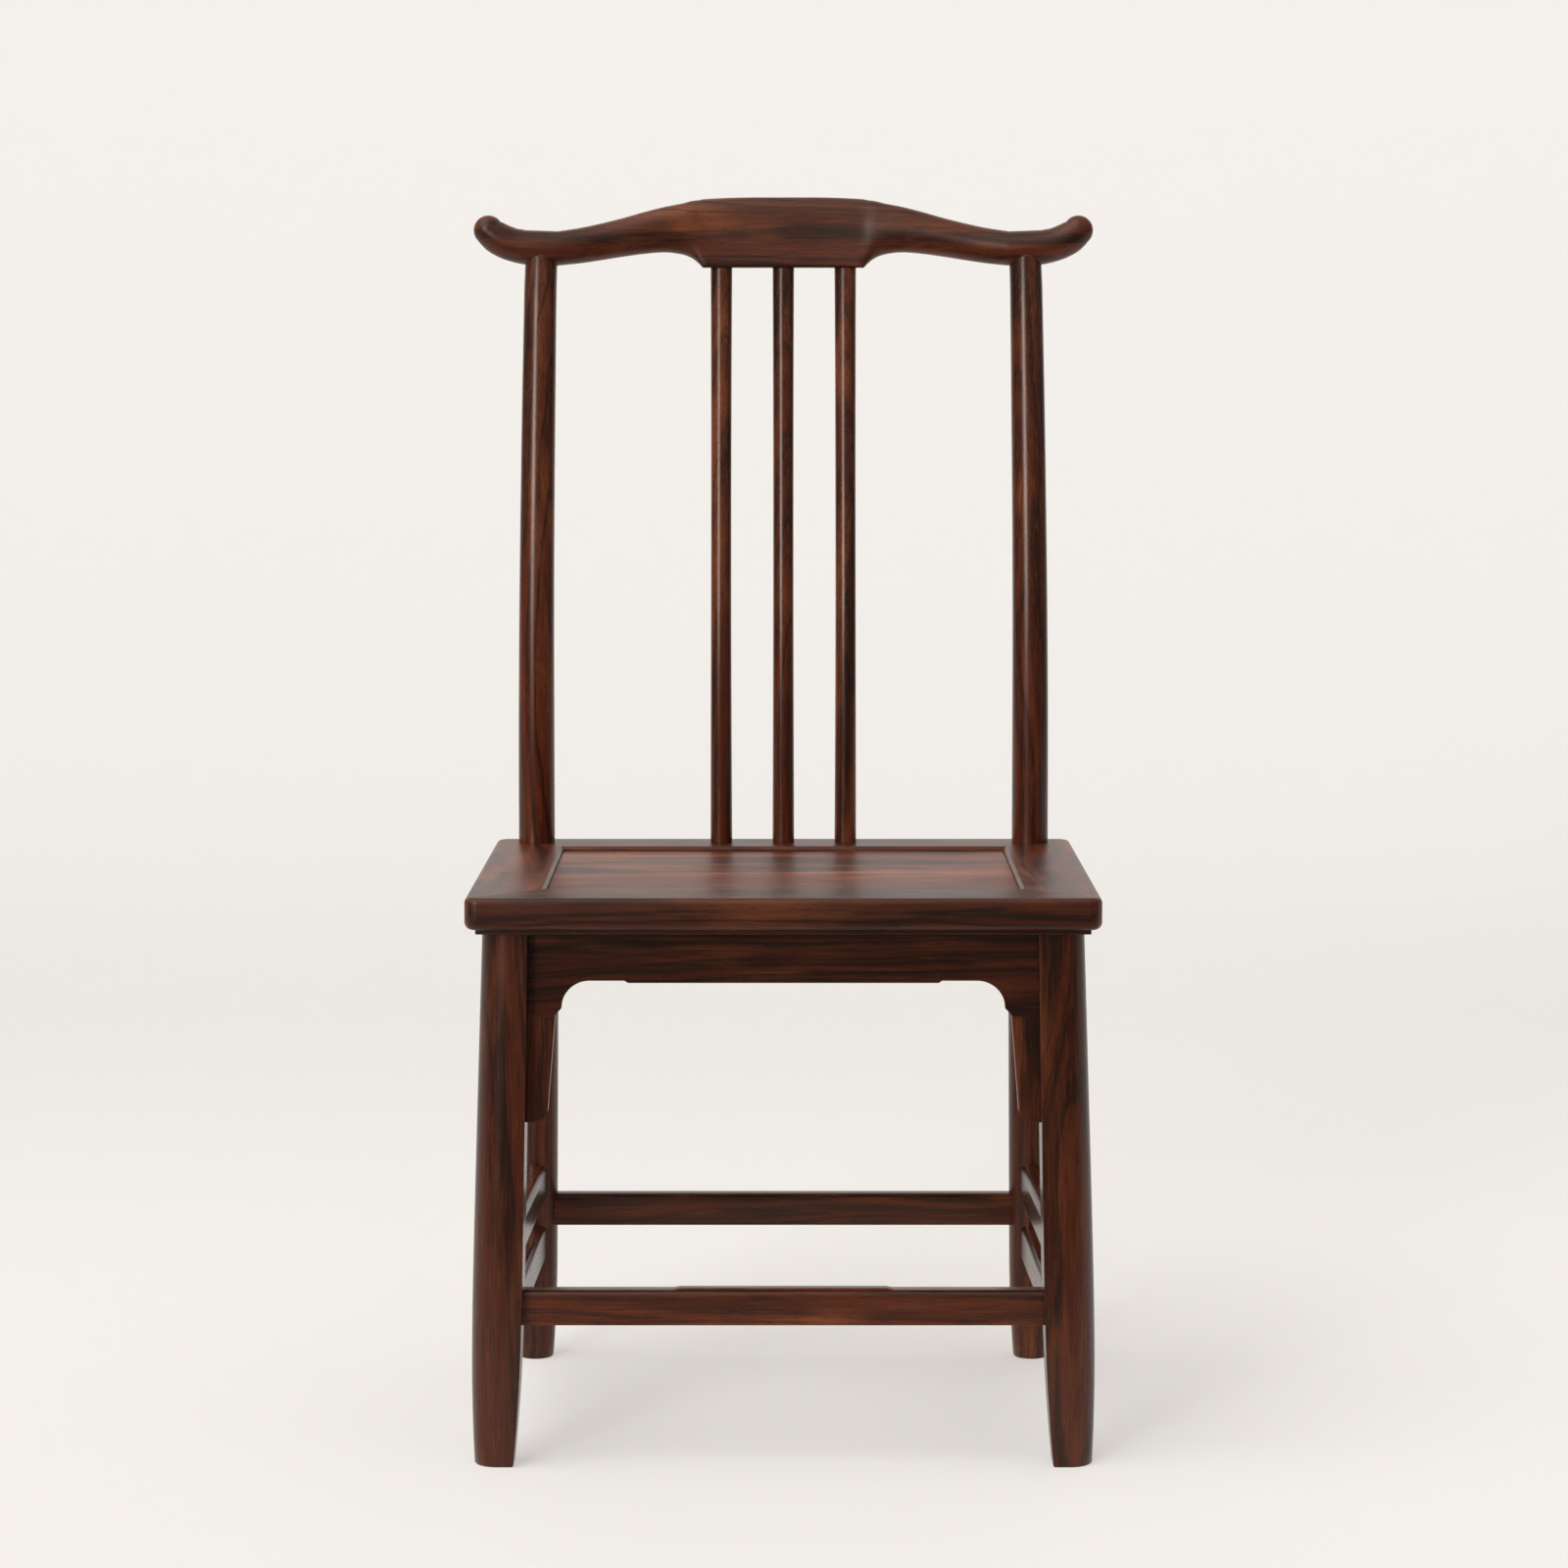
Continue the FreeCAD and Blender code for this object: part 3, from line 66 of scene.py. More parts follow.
# Wood: colours, and scales of the noises per metre
VARNISH, VARNISH_LEVEL = (1.0, 0.80, 0.70, 1.0), 0.38
BLACK = (0.0050, 0.0022, 0.0016, 1.0)
DARK = (0.0200, 0.0045, 0.0020)
MIDDLE = (0.0720, 0.0140, 0.0044)
PALE = (0.1750, 0.0470, 0.0160)
RUBBED = (0.20, 0.095, 0.058)
LONG_WAVES, THREADS, PORE_LENGTHS = 0.16, 0.03, 0.07
SWING, SWING_SCALE = 0.085, 11.0
RIPPLE, RIPPLE_SCALE = 0.007, 60.0
BROAD_RINGS, NARROW_RINGS = 62.0, 230.0
FIBRE_SCALE, PORE_SCALE, CLOUD_SCALE, HEART_SCALE = 520.0, 1300.0, 26.0, 38.0
RUB_SCALE, SHINE_SCALE = 60.0, 16.0
# Where a pattern starts to show, where it shows fully, and how much of it then shows
MIDDLE_RINGS = (0.36, 0.60)
PALE_CLOUDS = (0.50, 0.72, 0.80)
BLACK_RINGS = (0.53, 0.68, 0.60)
BLACK_HEART = (0.56, 0.70, 0.70)
PALE_FIBRES = (0.52, 0.72, 0.28)
BLACK_FIBRES = (0.46, 0.30, 0.45)
BLACK_PORES = (0.60, 0.70, 0.55)
RUBBED_EDGES = (0.985, 0.88, 0.45)
RUBBED_SPOTS = (0.30, 0.62)
SOFT_EDGE, EDGE_SAMPLES = 0.0012, 6
BUMP, BUMP_HEIGHT, RELIEF = 0.10, 0.0004, 0.6
ROUGHNESS, UNEVEN_SHINE, FIBRE_SHINE = 0.20, 0.10, 0.05
# Cuts of the log: the steps from piece to piece, the ways across the grain, and where the pith lies
CUT_STEP, RING_STEP = (1.37, 2.11, 0.73), 0.37
ACROSS_GRAIN = {"x": (0.0, 1.0, 1.0), "y": (1.0, 0.0, 1.0), "z": (1.0, 1.0, 0.0)}
PITH_AWAY = {"x": (0.0, 0.05, -0.11), "y": (0.06, 0.0, -0.10), "z": (0.07, 0.09, 0.0)}


class Tree:
    """Short calls to add and join the nodes of one material."""

    def __init__(self, name):
        self.material = bpy.data.materials.new(name)
        self.material.use_nodes = True
        self.nodes = self.material.node_tree.nodes
        self.links = self.material.node_tree.links
        self.nodes.clear()

    def add(self, kind, inputs=None, **settings):
        node = self.nodes.new(kind)
        for key, value in settings.items():
            setattr(node, key, value)
        for key, value in (inputs or {}).items():
            self.feed(node.inputs[key], value)
        return node

    def feed(self, socket, value):
        if isinstance(value, bpy.types.NodeSocket):
            self.links.new(value, socket)
        else:
            socket.default_value = value

    def noise(self, vector, scale, detail=3.0, roughness=0.5, distortion=0.0):
        node = self.add("ShaderNodeTexNoise", {"Vector": vector, "Scale": scale, "Detail": detail,
                                               "Roughness": roughness, "Distortion": distortion})
        return node.outputs["Fac"]

    def bands(self, distance, scale, detail=2.0):
        """Irregular bands along one distance, as growth rings are."""
        node = self.add("ShaderNodeTexNoise", {"W": distance, "Scale": scale, "Detail": detail,
                                               "Roughness": 0.6}, noise_dimensions="1D")
        return node.outputs["Fac"]

    def ramp(self, value, low, high):
        node = self.add("ShaderNodeMapRange", {"Value": value, "From Min": low, "From Max": high})
        node.interpolation_type = "SMOOTHSTEP"
        return node.outputs["Result"]

    def math(self, operation, a, b=0.0):
        return self.add("ShaderNodeMath", {0: a, 1: b}, operation=operation).outputs[0]

    def share(self, value, low, high, most):
        """A ramp from nothing at low to most at high."""
        return self.math("MULTIPLY", self.ramp(value, low, high), most)

    def vector(self, operation, a, b):
        node = self.add("ShaderNodeVectorMath", {0: a, 1: b}, operation=operation)
        return node.outputs["Value" if operation == "DOT_PRODUCT" else "Vector"]

    def mix(self, share, a, b, blend="MIX"):
        """Two colours blended; this node keeps its colours in inputs 6 and 7 and in output 2."""
        node = self.add("ShaderNodeMix", data_type="RGBA", blend_type=blend)
        self.feed(node.inputs[0], share)
        self.feed(node.inputs[6], a)
        self.feed(node.inputs[7], b)
        return node.outputs[2]

    def surface(self, colour, roughness, normal=None, **levels):
        node = self.add("ShaderNodeBsdfPrincipled", {"Base Color": colour, "Roughness": roughness})
        if normal:
            self.links.new(normal, node.inputs["Normal"])
        for name, level in levels.items():
            node.inputs[name.replace("_", " ")].default_value = level
        output = self.add("ShaderNodeOutputMaterial")
        self.links.new(node.outputs["BSDF"], output.inputs["Surface"])
        return self.material


def stretched(tree, place, along, share):
    """The place with its way along the grain shortened, so that every pattern runs on with the grain."""
    scale = tuple(share if axis == along else 1.0 for axis in "xyz")
    return tree.add("ShaderNodeMapping", {"Vector": place, "Scale": scale}).outputs["Vector"]


def toned(colour, light):
    """The colour, lighter or darker by one factor."""
    return (*(channel * light for channel in colour), 1.0)


def wood(name, along, seed, light, matt):
    """Dark rosewood whose grain runs along one axis; every piece has its own cut of the log, and its colours
    are scaled by the piece's painted light and shade.
    """
    tree = Tree(name)
    here = tree.add("ShaderNodeTexCoord").outputs["Object"]
    place = tree.vector("ADD", here, tuple(step * seed for step in CUT_STEP))
    long_waves = stretched(tree, place, along, LONG_WAVES)
    threads = stretched(tree, place, along, THREADS)

    # Growth rings: the distance from the pith, bent by slow waves along the piece
    from_pith = tree.vector("SUBTRACT", here, PITH_AWAY[along])
    across = tree.vector("MULTIPLY", from_pith, ACROSS_GRAIN[along])
    distance = tree.add("ShaderNodeVectorMath", {0: across}, operation="LENGTH").outputs["Value"]
    swing = tree.math("MULTIPLY", tree.noise(long_waves, SWING_SCALE, detail=2.0), SWING)
    ripple = tree.math("MULTIPLY", tree.noise(long_waves, RIPPLE_SCALE), RIPPLE)
    ripple = tree.math("ADD", ripple, RING_STEP * seed)
    distance = tree.math("ADD", tree.math("ADD", distance, swing), ripple)
    broad = tree.bands(distance, BROAD_RINGS)
    narrow = tree.bands(distance, NARROW_RINGS, detail=3.0)
    fibres = tree.noise(threads, FIBRE_SCALE, roughness=0.6)
    pores = tree.noise(stretched(tree, place, along, PORE_LENGTHS), PORE_SCALE, detail=1.0)
    clouds = tree.noise(long_waves, CLOUD_SCALE, roughness=0.6)
    heart = tree.noise(long_waves, HEART_SCALE, detail=4.0, roughness=0.6, distortion=0.4)

    pale = toned(PALE, light)
    colour = tree.mix(tree.ramp(broad, *MIDDLE_RINGS), toned(DARK, light), toned(MIDDLE, light))
    colour = tree.mix(tree.share(clouds, *PALE_CLOUDS), colour, pale)
    colour = tree.mix(tree.share(narrow, *BLACK_RINGS), colour, BLACK)
    colour = tree.mix(tree.share(heart, *BLACK_HEART), colour, BLACK)
    colour = tree.mix(tree.share(fibres, *PALE_FIBRES), colour, pale)
    colour = tree.mix(tree.share(fibres, *BLACK_FIBRES), colour, BLACK)
    colour = tree.mix(tree.share(pores, *BLACK_PORES), colour, BLACK)

    # Edges: softened arrises, a little paler where hands and cloths rub them
    bevel = tree.add("ShaderNodeBevel", {"Radius": SOFT_EDGE}, samples=EDGE_SAMPLES)
    soft_edge = bevel.outputs["Normal"]
    facing = tree.add("ShaderNodeNewGeometry").outputs["Normal"]
    turn = tree.vector("DOT_PRODUCT", soft_edge, facing)
    spots = tree.ramp(tree.noise(here, RUB_SCALE), *RUBBED_SPOTS)
    wear = tree.math("MULTIPLY", tree.share(turn, *RUBBED_EDGES), spots)
    colour = tree.mix(wear, colour, toned(RUBBED, light))

    # Fibres stand up, pores lie low; both and slow waves make the shine uneven
    raised = tree.math("MULTIPLY", fibres, RELIEF)
    height = tree.math("SUBTRACT", raised, tree.math("MULTIPLY", pores, RELIEF))
    bump = tree.add("ShaderNodeBump", {"Strength": BUMP, "Distance": BUMP_HEIGHT, "Height": height,
                                       "Normal": soft_edge}).outputs["Normal"]
    waves = tree.math("MULTIPLY", tree.noise(here, SHINE_SCALE), UNEVEN_SHINE)
    shine = tree.math("ADD", waves, ROUGHNESS + matt)
    shine = tree.math("ADD", shine, tree.math("MULTIPLY", fibres, FIBRE_SHINE))
    return tree.surface(colour, shine, bump, Specular_IOR_Level=VARNISH_LEVEL, Specular_Tint=VARNISH)


# The axis that each piece's grain runs along
GRAIN = {
    "crest_rail": "x",
    "rear_leg_left": "z", "rear_leg_right": "z",
    "front_leg_left": "z", "front_leg_right": "z",
    "spindle_left": "z", "spindle_centre": "z", "spindle_right": "z",
    "seat_frame_front": "x", "seat_frame_rear": "x", "seat_panel": "x",
    "seat_frame_left": "y", "seat_frame_right": "y",
    "seat_batten_left": "y", "seat_batten_right": "y",
    "front_apron": "x", "rear_apron": "x", "front_stretcher": "x", "rear_stretcher": "x",
    "side_apron_left": "y", "side_apron_right": "y",
    "side_stretcher_upper_left": "y", "side_stretcher_upper_right": "y",
    "side_stretcher_lower_left": "y", "side_stretcher_lower_right": "y",
    "front_strip_left": "z", "front_strip_right": "z",
}
# How much lighter or darker a piece's wood is painted, where it is not plain: painted light on the seat's
# top faces, crest and posts, painted shade on the front faces, aprons and front legs
PAINTED_LIGHT_AND_SHADE = {
    "crest_rail": 1.05,
    "rear_leg_left": 1.08, "rear_leg_right": 1.08,
    "seat_panel": 2.00,
    "seat_frame_front": 0.70,
    "seat_frame_left": 1.35, "seat_frame_right": 1.35,
    "front_apron": 0.62, "rear_apron": 0.60,
    "front_leg_left": 0.76, "front_leg_right": 0.76,
    "front_stretcher": 1.05,
}
# How much rougher a piece's varnish is
MATT = {
    "crest_rail": 0.10, "seat_panel": 0.14,
    "seat_frame_front": 0.10, "seat_frame_rear": 0.10, "seat_frame_left": 0.10, "seat_frame_right": 0.10,
}

woods = {}
# Each piece gets its own wood, made lighter or darker by its painted light and shade
for number, (name, along) in enumerate(sorted(GRAIN.items()), 1):
    light, matt = PAINTED_LIGHT_AND_SHADE.get(name, 1.0), MATT.get(name, 0.0)
    woods[name] = wood("rosewood_" + name, along, number, light, matt)
    for slot in nodes[name].material_slots:
        slot.material = woods[name]


# Smooth pieces: an edge stays sharp where its faces turn more than this many degrees
SHARP, CREST_SHARP, FRAME_SHARP = 50.0, 35.0, 30.0
MERGE_DISTANCE = 0.00002


def skin(name, rings, node, corner=SHARP):
    """A closed mesh through rings of matching points, in place of a CAD node."""
    around = len(rings[0])
    last = around * (len(rings) - 1)
    faces = []
    for start in range(0, last, around):
        for side in range(around):
            after = (side + 1) % around
            faces.append((start + side, start + after, start + around + after, start + around + side))
    faces.append(tuple(range(around)))
    faces.append(tuple(range(last, last + around)))
    mesh = bpy.data.meshes.new(name)
    mesh.from_pydata([point for ring in rings for point in ring], [], faces)
    shape = bmesh.new()
    shape.from_mesh(mesh)
    bmesh.ops.remove_doubles(shape, verts=shape.verts, dist=MERGE_DISTANCE)
    bmesh.ops.recalc_face_normals(shape, faces=shape.faces)
    for face in shape.faces:
        face.smooth = True
    shape.to_mesh(mesh)
    shape.free()
    mesh.set_sharp_from_angle(angle=radians(corner))
    mesh.materials.append(woods[node])
    piece = bpy.data.objects.new(name, mesh)
    scene.collection.objects.link(piece)
    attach(piece, "root")
    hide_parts(node)
    return piece


def between(low, high, share):
    """The value a share of the way from low to high."""
    return low + (high - low) * share


def follow(shares, share):
    """The values at a share, on smooth curves through the rows of a table of shares."""
    place = max(index for index, row in enumerate(shares[:-1]) if row[0] <= share)
    low, high = shares[place], shares[place + 1]
    before, after = shares[max(place - 1, 0)], shares[min(place + 2, len(shares) - 1)]
    span = high[0] - low[0]
    way = (share - low[0]) / span
    row = []
    for a, b, c, d in zip(before[1:], low[1:], high[1:], after[1:]):
        leaving = (c - a) / (high[0] - before[0]) * span
        arriving = (d - b) / (after[0] - low[0]) * span
        from_low = (b * (1 + 2 * way) + leaving * way) * (1 - way) ** 2
        to_high = (c * (3 - 2 * way) - arriving * (1 - way)) * way**2
        row.append(from_low + to_high)
    return row


def steps(count, start=0.0, end=1.0):
    """Evenly spaced values from start to end, both with them."""
    return [between(start, end, place / count) for place in range(count + 1)]


# Crest rail, in metres: a deep centre block, two bent arms and round upswept ends
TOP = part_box("crest_rail")[1][2]
SEAT_HALF_WIDTH, SEAT_HALF_DEPTH, SEAT_TOP = 0.2715, 0.218, 0.495
SEAT_Y = -0.027
POST_X, POST_Y = 0.2324, 0.162
POST_LEAN_IN = 0.0044
CREST_Y, CREST_BOW, CREST_LEAN = 0.230, 0.018, 6.0
BLOCK_HALF, BLOCK_HEIGHT, BLOCK_DEPTH, BLOCK_CROWN = 0.076, 0.0663, 0.030, 0.0018
BLOCK_STRAIGHT = 0.35
BLOCK_BLEND = 0.947
BLOCK_BOW_LOST = 0.07
ARM_RADIUS, TIP_RADIUS = 0.0161, 0.0140
JOINT_LENGTH, JOINT_TILT, JOINT_DROP = 0.0312, 2.0, 0.0479
OVERHANG, TIP_RISE, TIP_TILT = 0.0634, 0.0164, 55.0
CORNER_FADE = 2.2
TOP_POWER = (2.0, 2.6)
CORNER_REACH = (sqrt(0.5), 0.962)
EVEN_TURNS = {5.0 * place for place in range(72)}
CORNERS, NEAR_CORNERS = (225, 315), (0.6, 1.3, 2.1, 3.2)
CORNER_TURNS = {corner + side * off for corner in CORNERS for side in (-1, 1) for off in NEAR_CORNERS}
TURNS = [radians(turn) for turn in sorted(EVEN_TURNS | CORNER_TURNS)]
BLOCK_STEPS, ARM_STEPS, BEND_STEPS, DOME_STEPS = 14, 44, 18, 9
DOME_END = 84.0
# Sections of an arm: shares of the way along, of the drop, of the difference in section, and of the bow
ARM_SHARES = (
    (0.000, 0.703, 0.947, 0.930),
    (0.022, 0.679, 0.833, 0.920),
    (0.048, 0.651, 0.730, 0.905),
    (0.081, 0.625, 0.619, 0.885),
    (0.141, 0.616, 0.466, 0.850),
    (0.259, 0.628, 0.315, 0.770),
    (0.400, 0.692, 0.212, 0.655),
    (0.548, 0.780, 0.125, 0.520),
    (0.696, 0.866, 0.070, 0.375),
    (0.845, 0.943, 0.030, 0.190),
    (1.000, 1.000, 0.000, 0.000),
)
# Sections of the bend beyond the post: shares of its length, its reach, its rise, its tilt and its taper
BEND_SHARES = (
    (0.00, 0.00, 0.00, 0.00, 0.00),
    (0.16, 0.19, 0.09, 0.25, 0.09),
    (0.37, 0.43, 0.23, 0.50, 0.14),
    (0.70, 0.77, 0.58, 0.61, 0.42),
    (1.00, 1.00, 1.00, 1.00, 1.00),
)


def crest_ring(x, y, z, height, depth, lean, square):
    """A section across the rail: round where square is 0, flat below with small corners where it is 1."""
    top_power = between(*TOP_POWER, square)
    low_power = log(2) / -log(between(*CORNER_REACH, square))
    ring = []
    for turn in TURNS:
        out, up = cos(turn), sin(turn)
        if up > 0:
            out, up = copysign(abs(out) ** (2 / top_power), out), up ** (2 / top_power)
        else:
            reach = (abs(out) ** low_power + abs(up) ** low_power) ** (1 / low_power)
            out, up = out / reach, up / reach
        shift = out * depth / 2 + up * height / 2 * tan(radians(lean))
        ring.append((x, y + shift, z + up * height / 2))
    return ring


def round_ring(x, y, z, tilt, radius):
    """A circle across the rail where it is tilted up."""
    ring = []
    for turn in TURNS:
        up = radius * sin(turn)
        ring.append((x - up * sin(radians(tilt)), y + radius * cos(turn), z + up * cos(radians(tilt))))
    return ring


def block_rings():
    """Half of the centre block, from the middle out, but not the middle itself."""
    rings = []
    for share in steps(BLOCK_STEPS)[1:]:
        fall = max(share - BLOCK_STRAIGHT, 0.0) / (1.0 - BLOCK_STRAIGHT)
        height = BLOCK_HEIGHT - BLOCK_CROWN * fall**2
        y = CREST_Y - CREST_BOW * BLOCK_BOW_LOST * fall**2
        z = TOP - BLOCK_HEIGHT + height / 2
        rings.append(crest_ring(BLOCK_HALF * share, y, z, height, BLOCK_DEPTH, CREST_LEAN, 1.0))
    return rings


def arm_rings():
    """An arm, the straight part on the post, the bend and the domed tip."""
    joint_x, joint_z = POST_X - POST_LEAN_IN, TOP - JOINT_DROP
    y = CREST_Y - CREST_BOW
    half_x = JOINT_LENGTH / 2 * cos(radians(JOINT_TILT))
    half_z = JOINT_LENGTH / 2 * sin(radians(JOINT_TILT))
    rings = []
    for share in steps(ARM_STEPS)[1:-1]:
        dropped, blend, bowed = follow(ARM_SHARES, share)
        full = min(blend / BLOCK_BLEND, 1.0)
        rings.append(
            crest_ring(
                between(BLOCK_HALF, joint_x - half_x, share),
                CREST_Y - CREST_BOW * (1 - bowed),
                between(TOP, joint_z - half_z, dropped),
                between(2 * ARM_RADIUS, BLOCK_HEIGHT, blend),
                between(2 * ARM_RADIUS, BLOCK_DEPTH, blend),
                CREST_LEAN * full,
                full**CORNER_FADE,
            )
        )
    rings.append(round_ring(joint_x - half_x, y, joint_z - half_z, JOINT_TILT, ARM_RADIUS))
    tip_x, tip_z = joint_x + OVERHANG - TIP_RADIUS, joint_z + TIP_RISE
    for share in steps(BEND_STEPS):
        out, up, turned, tapered = follow(BEND_SHARES, share)
        x, z = between(joint_x + half_x, tip_x, out), between(joint_z + half_z, tip_z, up)
        tilt, radius = between(JOINT_TILT, TIP_TILT, turned), between(ARM_RADIUS, TIP_RADIUS, tapered)
        rings.append(round_ring(x, y, z, tilt, radius))
    for turn in steps(DOME_STEPS, 0.0, DOME_END)[1:]:
        out = TIP_RADIUS * sin(radians(turn))
        x, z = tip_x + out * cos(radians(TIP_TILT)), tip_z + out * sin(radians(TIP_TILT))
        rings.append(round_ring(x, y, z, TIP_TILT, TIP_RADIUS * cos(radians(turn))))
    return rings


def mirrored(ring):
    """The ring on the chair's other side."""
    return [(-x, y, z) for x, y, z in ring]


middle = crest_ring(0.0, CREST_Y, TOP - BLOCK_HEIGHT / 2, BLOCK_HEIGHT, BLOCK_DEPTH, CREST_LEAN, 1.0)
half_crest = block_rings() + arm_rings()
crest_rings = [mirrored(ring) for ring in half_crest[::-1]] + [middle] + half_crest
skin("crest", crest_rings, "crest_rail", CREST_SHARP)

# Posts with rear legs, and spindles: shares of the height, then of lean, rake and taper or waist
POST_SHARES = (
    (0.00, 0.00, 0.00, 0.00),
    (0.19, 0.10, -0.06, 0.08),
    (0.37, 0.20, 0.03, 0.30),
    (0.55, 0.36, 0.24, 0.50),
    (0.73, 0.58, 0.52, 0.66),
    (0.88, 0.80, 0.78, 0.88),
    (1.00, 1.00, 1.00, 1.00),
)
SPINDLE_SHARES = (
    (0.00, 0.00, 0.00),
    (0.19, -0.04, 0.50),
    (0.38, 0.05, 0.90),
    (0.56, 0.28, 1.00),
    (0.75, 0.58, 0.80),
    (0.91, 0.84, 0.40),
    (1.00, 1.00, 0.00),
)
LEG_TOP = 0.463
POST_RADIUS, POST_TOP_RADIUS, POST_NECK_SHARE = 0.017, 0.01515, 0.962
POST_HEAD_BACK = 0.0005
POST_HEAD_Y = CREST_Y - CREST_BOW + POST_HEAD_BACK
REAR_LEG_RADIUS, REAR_FOOT_SHARE, REAR_LEG_SHARE, REAR_TAPER = 0.021, 0.80, 0.97, 0.22
REAR_SPLAY_OUT, REAR_SPLAY_BACK = 0.0042, 0.005
FOOT_CHAMFER = 0.0012
SPINDLE_SPACING, SPINDLE_RADIUS, SPINDLE_WAIST, SPINDLE_ADVANCE = 0.0584, 0.0102, 0.0095, 0.007
SPINDLE_SIDES = {"spindle_left": -1, "spindle_centre": 0, "spindle_right": 1}
LEG_STEPS, POST_STEPS, SPINDLE_STEPS = 32, 40, 44
POST_POINTS, SPINDLE_POINTS = 48, 36
HEAD_CLEAR = 1.5 * ARM_RADIUS


def level_ring(x, y, z, radius, count=POST_POINTS):
    """A level circle."""
    turns = steps(count, 0.0, 2 * pi)[:-1]
    return [(x + radius * cos(turn), y + radius * sin(turn), z) for turn in turns]


def under_arm(x, y):
    """The height of the arm's underside over a point of the post's end."""
    axis = TOP - JOINT_DROP + (x - POST_X + POST_LEAN_IN) * tan(radians(JOINT_TILT))
    return axis - sqrt(ARM_RADIUS**2 - (y - CREST_Y + CREST_BOW) ** 2)


def post_rings():
    """The rear leg from its chamfered foot to the seat frame, and the post from there to the arm."""
    rings = []
    for share in steps(LEG_STEPS):
        thick = min(share / REAR_TAPER, 1.0)
        radius = REAR_LEG_RADIUS * (REAR_LEG_SHARE - (REAR_LEG_SHARE - REAR_FOOT_SHARE) * (1 - thick) ** 2)
        x, y = POST_X + REAR_SPLAY_OUT * (1 - share), POST_Y + REAR_SPLAY_BACK * (1 - share)
        if share == 0.0:
            rings.append(level_ring(x, y, 0.0, radius - FOOT_CHAMFER))
            rings.append(level_ring(x, y, FOOT_CHAMFER, radius))
            continue
        rings.append(level_ring(x, y, LEG_TOP * share, radius))
    rings.append(level_ring(POST_X, POST_Y, LEG_TOP, POST_RADIUS))
    for share in steps(POST_STEPS, 0.0, POST_NECK_SHARE):
        lean_in, rake, taper = follow(POST_SHARES, share)
        x, y = POST_X - POST_LEAN_IN * lean_in, between(POST_Y, POST_HEAD_Y, rake)
        z = between(SEAT_TOP, TOP - JOINT_DROP, share)
        if z < TOP - JOINT_DROP - HEAD_CLEAR:
            rings.append(level_ring(x, y, z, between(POST_RADIUS, POST_TOP_RADIUS, taper)))
    end = level_ring(POST_X - POST_LEAN_IN, POST_HEAD_Y, 0.0, POST_TOP_RADIUS)
    rings.append([(x, y, under_arm(x, y)) for x, y, _ in end])
    return rings


def spindle_rings(side):
    """A spindle from the seat to the crest rail's block."""
    rings = []
    for share in steps(SPINDLE_STEPS):
        rake, waist = follow(SPINDLE_SHARES, share)
        y = between(POST_Y, CREST_Y - SPINDLE_ADVANCE, rake)
        z = between(SEAT_TOP, TOP - BLOCK_HEIGHT, share)
        radius = between(SPINDLE_RADIUS, SPINDLE_WAIST, waist)
        rings.append(level_ring(SPINDLE_SPACING * side, y, z, radius, SPINDLE_POINTS))
    return rings


skin("post_right", post_rings(), "rear_leg_right")
skin("post_left", [mirrored(ring) for ring in post_rings()], "rear_leg_left")
for name, side in SPINDLE_SIDES.items():
    skin(name + "_bar", spindle_rings(side), name)

# Front legs: round outside, square inside
FRONT_LEG_X, FRONT_LEG_Y = 0.238, -0.213
FRONT_LEG_WIDTH, FRONT_LEG_DEPTH = 0.044, 0.042
FRONT_SPLAY_OUT, FRONT_SPLAY_FORWARD = 0.012, 0.010
FRONT_LEG_SHARES = ((0.00, 0.785), (0.075, 0.885), (0.19, 0.975), (0.38, 1.00), (1.00, 0.91))
LEG_ROUND_SHARES = (0.58, 0.20)
FRONT_LEG_STEPS, FRONT_ROUND_STEPS, REAR_ROUND_STEPS = 40, 20, 10


def arc(x, y, radius, start, end, count):
    """Points of a round corner; angles in degrees."""
    turns = steps(count, radians(start), radians(end))
    return [(x + radius * cos(turn), y + radius * sin(turn)) for turn in turns]


def front_leg_ring(share, less=0.0):
    """A section of the front leg, a share of its height up."""
    thick = follow(FRONT_LEG_SHARES, share)[0]
    width, depth = FRONT_LEG_WIDTH * thick - less, FRONT_LEG_DEPTH * thick - less
    front, rear = (width * round_share for round_share in LEG_ROUND_SHARES)
    outline = arc(width / 2 - front, front - depth / 2, front, -90, 0, FRONT_ROUND_STEPS)
    outline += arc(width / 2 - rear, depth / 2 - rear, rear, 0, 90, REAR_ROUND_STEPS)
    outline += [(-width / 2, depth / 2), (-width / 2, -depth / 2)]
    x = FRONT_LEG_X + FRONT_SPLAY_OUT * (1 - share)
    y = FRONT_LEG_Y - FRONT_SPLAY_FORWARD * (1 - share)
    z = FOOT_CHAMFER + (LEG_TOP - FOOT_CHAMFER) * share
    return [(x + out, y + back, z) for out, back in outline]


def front_leg_rings():
    """The front leg from its chamfered foot to the seat frame."""
    foot = [(x, y, 0.0) for x, y, _ in front_leg_ring(0.0, 2 * FOOT_CHAMFER)]
    return [foot] + [front_leg_ring(share) for share in steps(FRONT_LEG_STEPS)]


skin("front_post_right", front_leg_rings(), "front_leg_right")
skin("front_post_left", [mirrored(ring) for ring in front_leg_rings()], "front_leg_left")

# Seat frame: one moulded section carried round to the mitres
FRAME_WIDTH, CORNER_ROUND = 0.066, 0.012
EDGE_HEIGHT, STEP_INSET, LIP = 0.028, 0.009, 0.0025
TOP_ROUND, UNDER_ROUND = 0.005, 0.0065
GROOVE_DEPTH, GROOVE_TOP, GROOVE_UNDER = 0.008, 0.48815, 0.483
MITRE_GAP = 0.0001
EDGE_STEPS, CORNER_STEPS = 9, 6


